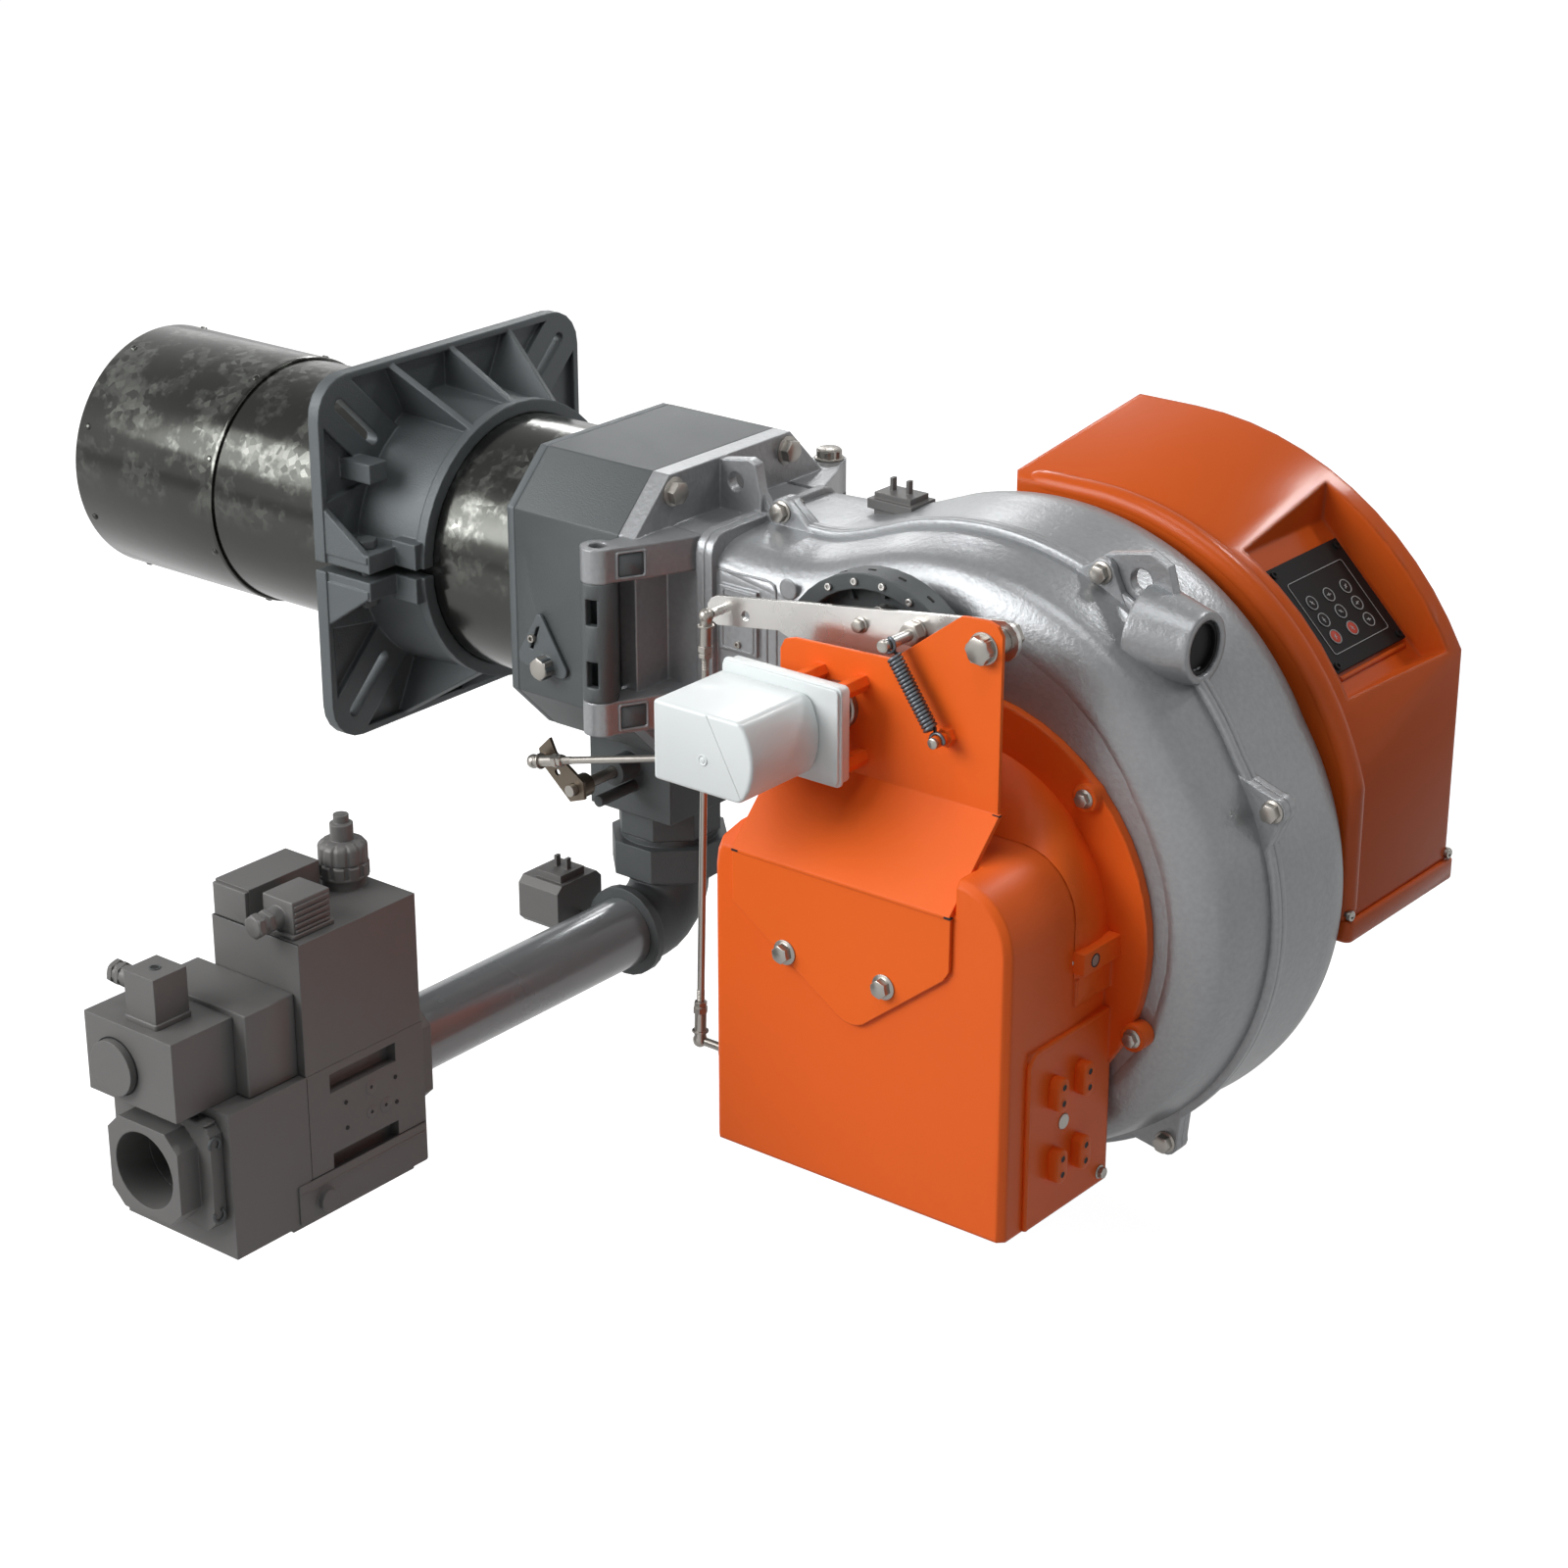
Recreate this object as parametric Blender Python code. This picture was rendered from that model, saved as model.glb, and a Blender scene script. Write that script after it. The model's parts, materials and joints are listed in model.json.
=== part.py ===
"""Industrial gas burner: flange, blast tube, hinged fan scroll, air box, servo linkage and gas valve train.

Metres, +Z up.  The origin is where the blast tube's axis meets the boiler face of the mounting flange.
+X runs from the boiler towards the fan, -Y is the side of the servo and the air box.
"""

import math

import bmesh
import bpy
from mathutils import Matrix, Vector

# Fits
GAP = 0.0003
SLIDE_GAP = 0.0004

# Blast tube and sleeve
TUBE_RADIUS = 0.1095
TUBE_WALL = 0.003
TUBE_FRONT = -0.200
SLEEVE_WALL = 0.0022
SLEEVE_FRONT = -0.360
SLEEVE_BACK = -0.180

# Mounting flange
FLANGE_SIDE = 0.320
FLANGE_CORNER = 0.034
FLANGE_THICKNESS = 0.012
FLANGE_WEB = 0.006
FLANGE_RIM = 0.006
FLANGE_SPLIT = 0.008
SLOT_INNER = 0.098
SLOT_OUTER = 0.135
SLOT_WIDTH = 0.011
DIAGONAL_BAND = 0.034
COLLAR_BASE_WALL = 0.0132
COLLAR_END_WALL = 0.0075
COLLAR_LIP_WALL = 0.0110
COLLAR_LENGTH = 0.088
COLLAR_LIP = 0.010
FLANGE_RIB = 0.006
FLANGE_RIB_SPREAD = 25.1
EAR_THICKNESS = 0.016
EAR_LENGTH = 0.050
EAR_REACH = 0.158
CLAMP_BOLT_RADIUS = 0.005
CLAMP_BOLT_X = 0.043
CLAMP_BOLT_Y = 0.142

# Head casing and hinge
CASING_FRONT = 0.1915
CASING_BACK = 0.303
CASING_HALF_WIDTH = 0.119
CASING_HALF_HEIGHT = 0.1207
CASING_CHAMFER = 0.0425
CASING_WALL = 0.007
FRONT_PLATE = 0.0082
HINGE_X = 0.3065
HINGE_Y = 0.147
HINGE_RADIUS = 0.0145
HINGE_BORE = 0.0075
HINGE_LUG_LOW = 0.050
HINGE_LUG_HIGH = 0.078
HEX_HEAD = 0.0075
HEX_WIDTH = 0.019

# Head adjuster
ADJUST_X = 0.2246
ADJUST_Z = -0.0495
ADJUST_PLATE = 0.003
ADJUST_SHAFT = 0.006

# Combustion head
GAS_TUBE_RADIUS = 0.030
GAS_TUBE_WALL = 0.003
NOZZLE_RADIUS = 0.046
NOZZLE_FRONT = -0.300
DISC_X = -0.326
DISC_RADIUS = 0.098
DISC_THICKNESS = 0.002
ELECTRODE_OFFSET = 0.060
CERAMIC_RADIUS = 0.006
ELECTRODE_RADIUS = 0.0016
ELECTRODES = (("ignition", 97.0), ("ionisation", 187.0))
CLAMP_COLLAR_X = -0.150

# Gas inlet, butterfly, union and elbow
GAS_X = 0.250
PIPE_BORE = 0.026
PIPE_RADIUS = 0.03015
BUTTERFLY_HALF = 0.044
BUTTERFLY_NEAR = -0.050
BUTTERFLY_TOP = -0.1210
BUTTERFLY_HEIGHT = 0.0757
BUTTERFLY_AXIS_Z = -0.152
BUTTERFLY_SHAFT = 0.005
BUTTERFLY_DISC = 0.003
GAS_LEVER_Y = -0.1200
GAS_LEVER_THICKNESS = 0.003
GAS_BALL_X = 0.218
GAS_BALL_Z = -0.131
UNION_TOP_HEIGHT = 0.0243
UNION_TOP_WIDTH = 0.084
UNION_NUT_HEIGHT = 0.040
UNION_NUT_WIDTH = 0.096
PIPE_Z = -0.3015
ELBOW_RADIUS = 0.034
ELBOW_BAND = 0.0395
ELBOW_END = -0.062

# Gas valve
VALVE_OUTLET_Y = -0.341
VALVE_FLANGE_THICKNESS = 0.025
VALVE_INLET_Y = -0.600
VALVE_BODY_HALF = 0.060
VALVE_BODY_LENGTH = 0.202
VALVE_BODY_TOP = -0.250
VALVE_BODY_BOTTOM = -0.370
VALVE_BORE = 0.031
INLET_HALF = 0.038
OUTLET_HALF = 0.044
SOLENOID_TOP = -0.1415
SOLENOID_BACK = -0.368
SOLENOID_FRONT = -0.490
SOLENOID_LEFT = 0.218
BRAKE_X = 0.255
BRAKE_Y = -0.388
BRAKE_RADIUS = 0.020

# Fan scroll
FAN_X = 0.620
FAN_Z = -0.150
SCROLL_BASE = 0.232
SCROLL_RISE = 0.00053
SCROLL_RISE_FROM = 395.0
SCROLL_CUTOFF = 162.0
SCROLL_OUTLET = 486.0
SCROLL_STEP = 12.0
SCROLL_WALL = 0.006
SEAM_Y = -0.010
SCROLL_NEAR = -0.080
SCROLL_FAR = 0.081
SEAM_LIP = 0.005
SEAM_LIP_WIDTH = 0.006
HINGE_PLATE = 0.017
DUCT_HALF_WIDTH = 0.081
DUCT_HALF_HEIGHT = 0.078
DUCT_END = 0.363
DUCT_RING = 0.005
INTAKE_RADIUS = 0.105
MOTOR_HOLE = 0.018

# Spout
SPOUT_X = 0.779
SPOUT_Z = 0.061
SPOUT_RADIUS = 0.0275
SPOUT_BORE = 0.0215
SPOUT_ROOT_RADIUS = 0.040
SPOUT_LENGTH = 0.048

# Air box
INTAKE_RING_Z = -0.156
INTAKE_RING_RADIUS = 0.170
INTAKE_RING_THICKNESS = 0.008
DOME_RADIUS = 0.133
BOX_X = 0.6185
BOX_HALF_WIDTH = 0.1375
BOX_TOP = -0.072
BOX_CORNER = 0.050
BOX_BOTTOM = -0.354
BOX_FRONT = -0.219
BOX_BACK = -0.135
BOX_WALL = 0.0035

# Damper
DAMPER_Y = -0.168
DAMPER_Z = -0.292
DAMPER_SHAFT = 0.005
DAMPER_HALF_CHORD = 0.043
DAMPER_BLADE = 0.002
DAMPER_CRANK = 0.010
AIR_ROD_OFF = 0.049
AIR_ROD_X = BOX_X - BOX_HALF_WIDTH - AIR_ROD_OFF

# Servo bracket and servo
BRACKET_Y = -0.160
BRACKET_SHEET = 0.003
FOLD_HIGH_Z = -0.042
FOLD_LOW_Z = -0.102
SERVO_X = 0.557
SERVO_Z = 0.010
SERVO_SHAFT = 0.006
SERVO_BACK = -0.190
SERVO_BASE = 0.015
SERVO_FRONT = -0.285
STANDOFF_WIDTH = 0.012
SHAFT_HOLE = 0.014

# Cam, air lever and rods
CAM_FACE = -0.121
CAM_THICKNESS = 0.022
CAM_RADIUS = 0.090
CAM_RIM = 0.0125
CAM_WEB = 0.006
CAM_FIRST = 22.0
CAM_LAST = 152.0
CAM_X = 0.557
SERVO_SWEEP = 50.0
LEVER_SWEEP = 4.38
LEVER_Y = -0.142
LEVER_SHEET = 0.004
LEVER_PIVOT_X = 0.688
LEVER_PIVOT_Z = 0.084
ROLLER_X = 0.5615
ROLLER_Z = 0.0677
ROLLER_RADIUS = 0.008
AIR_BALL_X = 0.427
AIR_BALL_Y = -0.160
AIR_BALL_Z = 0.050
SPRING_POST_X = 0.613
SPRING_POST_Z = 0.074
SPRING_END_X = 0.6587
SPRING_END_Z = 0.0097
SPRING_Y = -0.177
SPRING_RADIUS = 0.0055
POST_RADIUS = 0.0045
CRANK_LENGTH = 0.0665
CRANK_ANGLE = 241.0
CRANK_Y = -0.154
CRANK_SHEET = 0.004
GAS_ROD_Y = -0.133
ROD_RADIUS = 0.003
SOCKET_RADIUS = 0.006

# Fan, motor, hood and panel
FAN_RADIUS = 0.180
FAN_HUB = 0.030
FAN_NEAR = -0.056
FAN_FAR = 0.058
FAN_BLADES = 20
MOTOR_SHAFT = 0.012
MOTOR_FLANGE_RADIUS = 0.110
MOTOR_FLANGE = 0.010
MOTOR_RADIUS = 0.063
MOTOR_LENGTH = 0.120
MOTOR_CAP = 0.018
SWITCH_SINK = 0.0022
HOOD_NEAR = 0.092
HOOD_FAR = 0.255
HOOD_LEFT = 0.533
HOOD_TOP = 0.124
HOOD_BOTTOM = -0.175
HOOD_NEAR_RADIUS = 0.260
HOOD_ARC_X = 0.602
HOOD_SIDE_CUT = 0.008
HOOD_FLARE = 0.025
HOOD_FAR_RADIUS = HOOD_NEAR_RADIUS + HOOD_FLARE
HOOD_RIGHT = HOOD_ARC_X + HOOD_NEAR_RADIUS - HOOD_SIDE_CUT
HOOD_WALL = 0.005
BASE_THICKNESS = 0.018
PANEL_SUM = 0.820
PANEL_HALF = 0.048
PANEL_MIDDLE_X = 0.7785
PANEL_NEAR = 0.125
PANEL_FAR = 0.230
PANEL_THICKNESS = 0.003
RECESS_HALF = 0.067
RECESS_NEAR = 0.117
RECESS_FAR = 0.235

MATERIALS = {}


def paint(name, colour, roughness, metallic=0.0):
    """A Principled material kept by name."""
    material = bpy.data.materials.new(name)
    material.use_nodes = True
    shader = material.node_tree.nodes["Principled BSDF"]
    shader.inputs["Base Color"].default_value = (*colour, 1.0)
    shader.inputs["Roughness"].default_value = roughness
    shader.inputs["Metallic"].default_value = metallic
    MATERIALS[name] = material


def wrap(name, bm):
    """Turns a bmesh into an object with outward normals."""
    bmesh.ops.recalc_face_normals(bm, faces=bm.faces)
    mesh = bpy.data.meshes.new(name)
    bm.to_mesh(mesh)
    bm.free()
    obj = bpy.data.objects.new(name, mesh)
    bpy.context.scene.collection.objects.link(obj)
    return obj


def place(axis, u, v, w):
    """A point from two section coordinates and one along the axis."""
    if axis == "X":
        return Vector((w, u, v))
    if axis == "Y":
        return Vector((u, w, v))
    return Vector((u, v, w))


def stack(name, axis, sections):
    """A solid through closed sections of equal count: each is (place along the axis, outline)."""
    bm = bmesh.new()
    rings = [[bm.verts.new(place(axis, u, v, w)) for u, v in outline] for w, outline in sections]
    count = len(rings[0])
    for first, second in zip(rings, rings[1:]):
        for i in range(count):
            j = (i + 1) % count
            bm.faces.new((first[i], first[j], second[j], second[i]))
    bm.faces.new(rings[0])
    bm.faces.new(reversed(rings[-1]))
    return wrap(name, bm)


def prism(name, axis, outline, low, high):
    """An outline extruded along an axis."""
    return stack(name, axis, [(low, outline), (high, outline)])


def prisms(name, axis, outlines, low, high):
    """Several separate prisms in one helper."""
    bm = bmesh.new()
    for outline in outlines:
        first = [bm.verts.new(place(axis, u, v, low)) for u, v in outline]
        second = [bm.verts.new(place(axis, u, v, high)) for u, v in outline]
        for i in range(len(outline)):
            j = (i + 1) % len(outline)
            bm.faces.new((first[i], first[j], second[j], second[i]))
        bm.faces.new(first)
        bm.faces.new(reversed(second))
    return wrap(name, bm)


def block(name, low, high):
    """A box between two corners."""
    outline = [(low[0], low[1]), (high[0], low[1]), (high[0], high[1]), (low[0], high[1])]
    return prism(name, "Z", outline, low[2], high[2])


def arc(u, v, radius, first, last, steps):
    """Points on a circle from one angle to another, in degrees."""
    angles = [math.radians(first + (last - first) * i / steps) for i in range(steps + 1)]
    return [(u + radius * math.cos(a), v + radius * math.sin(a)) for a in angles]


def circle(u, v, radius, steps):
    """A full circle as an outline."""
    return arc(u, v, radius, 0, 360 - 360 / steps, steps - 1)


def rounded(u, v, half_u, half_v, radius, steps=4):
    """A rounded rectangle about a centre."""
    outline = []
    for corner, (side_u, side_v) in enumerate(((1, 1), (-1, 1), (-1, -1), (1, -1))):
        centre_u = u + side_u * (half_u - radius)
        centre_v = v + side_v * (half_v - radius)
        outline += arc(centre_u, centre_v, radius, corner * 90, corner * 90 + 90, steps)
    return outline


def chamfered(u, v, half_u, half_v, cut_u, cut_v):
    """A rectangle with its four corners cut off."""
    return [
        (u + half_u, v - half_v + cut_v),
        (u + half_u, v + half_v - cut_v),
        (u + half_u - cut_u, v + half_v),
        (u - half_u + cut_u, v + half_v),
        (u - half_u, v + half_v - cut_v),
        (u - half_u, v - half_v + cut_v),
        (u - half_u + cut_u, v - half_v),
        (u + half_u - cut_u, v - half_v),
    ]


def cylinder(name, axis, u, v, radius, low, high, steps=24):
    """A round bar along an axis."""
    return prism(name, axis, circle(u, v, radius, steps), low, high)


def hexagon(name, axis, u, v, width, low, high):
    """A hexagon bar, given by its width across flats."""
    return prism(name, axis, circle(u, v, width / math.sqrt(3), 6), low, high)


def octagon(name, axis, u, v, width, low, high):
    """An octagon bar, given by its width across flats."""
    radius = width / 2 / math.cos(math.pi / 8)
    return prism(name, axis, arc(u, v, radius, 22.5, 337.5, 7), low, high)


def bar(name, start, end, radius, steps=12):
    """A round bar between any two points."""
    start, end = Vector(start), Vector(end)
    turn = (end - start).to_track_quat("Z", "Y").to_matrix()
    bm = bmesh.new()
    rings = []
    for centre in (start, end):
        rings.append(
            [bm.verts.new(centre + turn @ Vector((u, v, 0))) for u, v in circle(0, 0, radius, steps)]
        )
    for i in range(steps):
        j = (i + 1) % steps
        bm.faces.new((rings[0][i], rings[0][j], rings[1][j], rings[1][i]))
    bm.faces.new(rings[0])
    bm.faces.new(reversed(rings[1]))
    return wrap(name, bm)


def ball(name, centre, radius):
    """A round ball joint body."""
    bm = bmesh.new()
    bmesh.ops.create_uvsphere(bm, u_segments=12, v_segments=8, radius=radius)
    bmesh.ops.translate(bm, verts=bm.verts, vec=Vector(centre))
    return wrap(name, bm)


def turned(name, axis, u, v, profile, steps=32):
    """A closed profile of (radius, place along the axis) turned about the axis."""
    bm = bmesh.new()
    rings = []
    for radius, along in profile:
        if radius == 0:
            rings.append([bm.verts.new(place(axis, u, v, along))])
        else:
            rings.append([bm.verts.new(place(axis, a, b, along)) for a, b in circle(u, v, radius, steps)])
    for first, second in zip(rings, rings[1:] + rings[:1]):
        for i in range(steps):
            j = (i + 1) % steps
            corners = []
            for ring, index in ((first, i), (first, j), (second, j), (second, i)):
                vertex = ring[index % len(ring)]
                if vertex not in corners:
                    corners.append(vertex)
            if len(corners) > 2:
                bm.faces.new(corners)
    return wrap(name, bm)


def swept(name, path, outer, inner, steps=24):
    """A hollow tube through points in a plane of constant X, with a radius pair at each point."""
    bm = bmesh.new()
    points = [Vector(p) for p in path]
    rings = []
    for radii in (outer, inner):
        for i, point in enumerate(points):
            ahead = points[min(i + 1, len(points) - 1)] - points[max(i - 1, 0)]
            side = Vector((1, 0, 0))
            up = ahead.normalized().cross(side)
            rings.append(
                [bm.verts.new(point + side * u + up * v) for u, v in circle(0, 0, radii[i], steps)]
            )
    count = len(points)
    order = list(range(count)) + list(range(2 * count - 1, count - 1, -1))
    for first, second in zip(order, order[1:] + order[:1]):
        for i in range(steps):
            j = (i + 1) % steps
            bm.faces.new((rings[first][i], rings[first][j], rings[second][j], rings[second][i]))
    return wrap(name, bm)


def hide(helper):
    """Marks a helper that only feeds a Boolean."""
    helper.hide_render = True
    helper.display_type = "WIRE"


def combine(target, operation, helpers):
    """Adds one exact Boolean for each helper."""
    for helper in helpers:
        step = target.modifiers.new(operation.title() + " " + helper.name, "BOOLEAN")
        step.operation = operation
        step.solver = "EXACT"
        step.object = helper
        hide(helper)


def unite(target, *helpers):
    combine(target, "UNION", helpers)


def cut(target, *helpers):
    combine(target, "DIFFERENCE", helpers)


def finish(obj, material, empty=None, angle=40):
    """Gives an object its material, smooth shading and, where it moves, the empty on its joint's axis."""
    obj.data.materials.append(MATERIALS[material])
    obj.data.shade_smooth()
    obj.data.set_sharp_from_angle(angle=math.radians(angle))
    if empty is not None:
        obj.parent = empty
        obj.location = -empty.location
    return obj


def pivot(name, x, y, z):
    """An empty on a joint's axis."""
    empty = bpy.data.objects.new(name, None)
    empty.empty_display_size = 0.03
    empty.location = (x, y, z)
    bpy.context.scene.collection.objects.link(empty)
    return empty


def polar(x, z, radius, degrees):
    """A point on a circle in an upright plane."""
    return (x + radius * math.cos(math.radians(degrees)), z + radius * math.sin(math.radians(degrees)))


def casing_outline(inset=0.0):
    """The head casing's octagon across the tube axis."""
    cut_side = CASING_CHAMFER - inset * (2 - math.sqrt(2)) / math.sqrt(2)
    half_width = CASING_HALF_WIDTH - inset
    half_height = CASING_HALF_HEIGHT - inset
    return chamfered(0, 0, half_width, half_height, cut_side, cut_side)


def scroll_radius(angle):
    """The spiral's radius at an angle in degrees, from the cutoff round to the outlet."""
    return SCROLL_BASE + SCROLL_RISE * max(0.0, angle - SCROLL_RISE_FROM)


def scroll_outline(inset, duct_inset, left=DUCT_END):
    """The duct and the spiral as one outline in X and Z."""
    half = DUCT_HALF_HEIGHT - duct_inset
    count = round((SCROLL_OUTLET - SCROLL_CUTOFF) / SCROLL_STEP)
    angles = [SCROLL_CUTOFF + (SCROLL_OUTLET - SCROLL_CUTOFF) * i / count for i in range(count + 1)]
    spiral = [polar(FAN_X, FAN_Z, scroll_radius(a) - inset, a) for a in angles]
    cutoff = FAN_X - math.sqrt((SCROLL_BASE - inset) ** 2 - (half + FAN_Z) ** 2)
    return [(left, -half), (cutoff, -half)] + spiral[1:] + [(left, half)]


# Flange


def flange_half(name, side):
    """One half of the split mounting flange: plate, collar, ribs, pockets, slots and clamp ears."""
    half = FLANGE_SIDE / 2
    inner = half - FLANGE_RIM
    collar = TUBE_RADIUS + SLIDE_GAP
    body = prism(name, "X", rounded(0, 0, half, half, FLANGE_CORNER, 5), 0, FLANGE_THICKNESS)
    top = [
        (-inner + DIAGONAL_BAND, inner * side),
        (inner - DIAGONAL_BAND, inner * side),
        (0.060, (0.060 + DIAGONAL_BAND) * side),
        (-0.060, (0.060 + DIAGONAL_BAND) * side),
    ]
    pockets = [prism(name + "_top_pocket", "X", top, FLANGE_WEB, FLANGE_THICKNESS + 0.01)]
    for hand in (-1, 1):
        corner = [
            (inner * hand, (inner - DIAGONAL_BAND) * side),
            (inner * hand, 0.056 * side),
            (0.098 * hand, (0.098 - DIAGONAL_BAND) * side),
        ]
        pockets.append(
            prism(name + f"_side_pocket_{hand}", "X", corner, FLANGE_WEB, FLANGE_THICKNESS + 0.01)
        )
    cut(body, *pockets)
    profile = [
        (collar - 0.004, 0.002),
        (collar + COLLAR_BASE_WALL, 0.002),
        (collar + COLLAR_END_WALL, COLLAR_LENGTH - COLLAR_LIP),
        (collar + COLLAR_LIP_WALL, COLLAR_LENGTH - COLLAR_LIP),
        (collar + COLLAR_LIP_WALL, COLLAR_LENGTH),
        (collar - 0.004, COLLAR_LENGTH),
    ]
    unite(body, turned(name + "_collar", "X", 0, 0, profile, 48))
    for spread in (-FLANGE_RIB_SPREAD, 0, FLANGE_RIB_SPREAD):
        reach = (inner + 0.002) / math.cos(math.radians(spread))
        root = collar + COLLAR_END_WALL / 2
        rib = prism(
            name + f"_rib_{round(spread)}",
            "Y",
            [(0.004, root), (0.004, reach), (FLANGE_THICKNESS, reach), (0.084, root + 0.006), (0.084, root)],
            -FLANGE_RIB / 2,
            FLANGE_RIB / 2,
        )
        rib.data.transform(Matrix.Rotation(math.radians(-spread if side > 0 else 180 + spread), 4, "X"))
        unite(body, rib)
    split = FLANGE_SPLIT / 2
    for hand in (-1, 1):
        ear_y = sorted((0.112 * hand, EAR_REACH * hand))
        lug_y = sorted((0.113 * hand, 0.127 * hand))
        ear_z = sorted((split * side, (split + EAR_THICKNESS) * side))
        lug_z = sorted((split * side, 0.026 * side))
        unite(
            body,
            block(
                name + f"_ear_{hand}",
                (0.004, ear_y[0], ear_z[0]),
                (FLANGE_THICKNESS + EAR_LENGTH, ear_y[1], ear_z[1]),
            ),
            block(
                name + f"_lug_{hand}",
                (0.058, lug_y[0], lug_z[0]),
                (COLLAR_LENGTH - 0.003, lug_y[1], lug_z[1]),
            ),
            prism(
                name + f"_gusset_{hand}",
                "Y",
                [(0.004, 0.056 * side), (0.004, 0.012 * side), (0.060, 0.012 * side), (0.060, 0.018 * side)],
                *sorted(((inner - 0.001) * hand, (half - 0.001) * hand)),
            ),
        )
    if side > 0:
        unite(body, block(name + "_stub", (0.004, -0.132, 0.071), (0.041, -0.112, 0.088)))
    cut(body, cylinder(name + "_bore", "X", 0, 0, collar, -0.01, COLLAR_LENGTH + 0.01, 48))
    middle = (SLOT_INNER + SLOT_OUTER) / 2
    for hand in (-1, 1):
        reach = (SLOT_OUTER - SLOT_INNER) / math.sqrt(2)
        slot = prism(
            name + f"_slot_{hand}",
            "X",
            rounded(0, 0, reach + SLOT_WIDTH / 2, SLOT_WIDTH / 2, SLOT_WIDTH / 2 - 0.0001, 4),
            -0.01,
            0.03,
        )
        slot.data.transform(Matrix.Rotation(math.radians(45 * hand * side), 4, "X"))
        slot.data.transform(Matrix.Translation((0, middle * hand, middle * side)))
        cut(
            body,
            slot,
            cylinder(
                name + f"_bolt_hole_{hand}",
                "Z",
                CLAMP_BOLT_X,
                CLAMP_BOLT_Y * hand,
                CLAMP_BOLT_RADIUS + GAP,
                *sorted((0, 0.03 * side)),
                16,
            ),
        )
    waste = sorted((split * side, -0.2 * side))
    cut(body, block(name + "_other_half", (-0.02, -0.2, waste[0]), (0.12, 0.2, waste[1])))
    return finish(body, "cast_grey")


def clamp_bolt(name, hand):
    """The bolt that closes the split collar on one side."""
    top = FLANGE_SPLIT / 2 + EAR_THICKNESS + GAP
    y = CLAMP_BOLT_Y * hand
    bolt = cylinder(name, "Z", CLAMP_BOLT_X, y, CLAMP_BOLT_RADIUS, -top - 0.012, top + 0.001, 16)
    unite(
        bolt,
        hexagon(name + "_head", "Z", CLAMP_BOLT_X, y, 0.017, top, top + 0.007),
        hexagon(name + "_nut", "Z", CLAMP_BOLT_X, y, 0.017, -top - 0.009, -top),
    )
    return finish(bolt, "zinc")


# Tube, casing and combustion head


def blast_tube():
    inner = TUBE_RADIUS - TUBE_WALL
    back = CASING_FRONT - GAP
    profile = [(inner, TUBE_FRONT), (TUBE_RADIUS, TUBE_FRONT), (TUBE_RADIUS, back), (inner, back)]
    return finish(turned("blast_tube", "X", 0, 0, profile, 64), "tube_steel")


def blast_sleeve():
    inner = TUBE_RADIUS + GAP
    outer = inner + SLEEVE_WALL
    profile = [(inner, SLEEVE_FRONT), (outer, SLEEVE_FRONT), (outer, SLEEVE_BACK), (inner, SLEEVE_BACK)]
    return finish(turned("blast_sleeve", "X", 0, 0, profile, 64), "tube_steel")


def casing_front_plate():
    back = CASING_FRONT - GAP
    plate = prism("casing_front_plate", "X", casing_outline(), back - FRONT_PLATE, back)
    cut(plate, cylinder("front_plate_hole", "X", 0, 0, TUBE_RADIUS + GAP, back - 0.03, back + 0.01, 64))
    return finish(plate, "bright_steel")


def casing_barrel(name, hand):
    """A hinge barrel beside the casing, with its web back to the casing's wall."""
    low = -HINGE_LUG_LOW + GAP
    high = HINGE_LUG_LOW - GAP
    y = HINGE_Y * hand
    barrel = cylinder(name, "Z", HINGE_X, y, HINGE_RADIUS, low, high, 24)
    web = [
        (HINGE_X - HINGE_RADIUS, y),
        (CASING_BACK - 0.030, (CASING_HALF_WIDTH - 0.003) * hand),
        (CASING_BACK, (CASING_HALF_WIDTH - 0.003) * hand),
        (CASING_BACK, (CASING_HALF_WIDTH + 0.001) * hand),
        (HINGE_X + HINGE_RADIUS * 0.6, y - HINGE_RADIUS * 0.6 * hand),
    ]
    unite(barrel, prism(name + "_web", "Z", web, low, high))
    return barrel


def head_casing():
    """The hollow octagonal casing with its hinge barrels and its gas inlet hole."""
    casing = prism("head_casing", "X", casing_outline(), CASING_FRONT, CASING_BACK)
    cut(
        casing,
        prism(
            "casing_room", "X", casing_outline(CASING_WALL), CASING_FRONT + CASING_WALL, CASING_BACK + 0.01
        ),
        cylinder(
            "casing_air_hole",
            "X",
            0,
            0,
            TUBE_RADIUS - TUBE_WALL - 0.002,
            CASING_FRONT - 0.01,
            CASING_FRONT + 0.02,
            48,
        ),
        cylinder("casing_gas_hole", "Z", GAS_X, 0, GAS_TUBE_RADIUS + GAP, -0.15, -0.08, 24),
        cylinder("casing_adjust_hole", "Y", ADJUST_X, ADJUST_Z, ADJUST_SHAFT + GAP, -0.15, -0.08, 16),
    )
    for hand in (-1, 1):
        tag = "near" if hand < 0 else "far"
        unite(casing, casing_barrel(f"casing_barrel_{tag}", hand))
        cut(casing, cylinder(f"casing_bore_{tag}", "Z", HINGE_X, HINGE_Y * hand, HINGE_BORE, -0.1, 0.1, 24))
    for middle in (-0.026, 0.026):
        cut(
            casing,
            block(
                f"barrel_window_{round(middle * 1000)}",
                (HINGE_X - 0.002, -0.165, middle - 0.011),
                (HINGE_X + 0.008, -0.148, middle + 0.011),
            ),
        )
    return finish(casing, "cast_grey")


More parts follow.
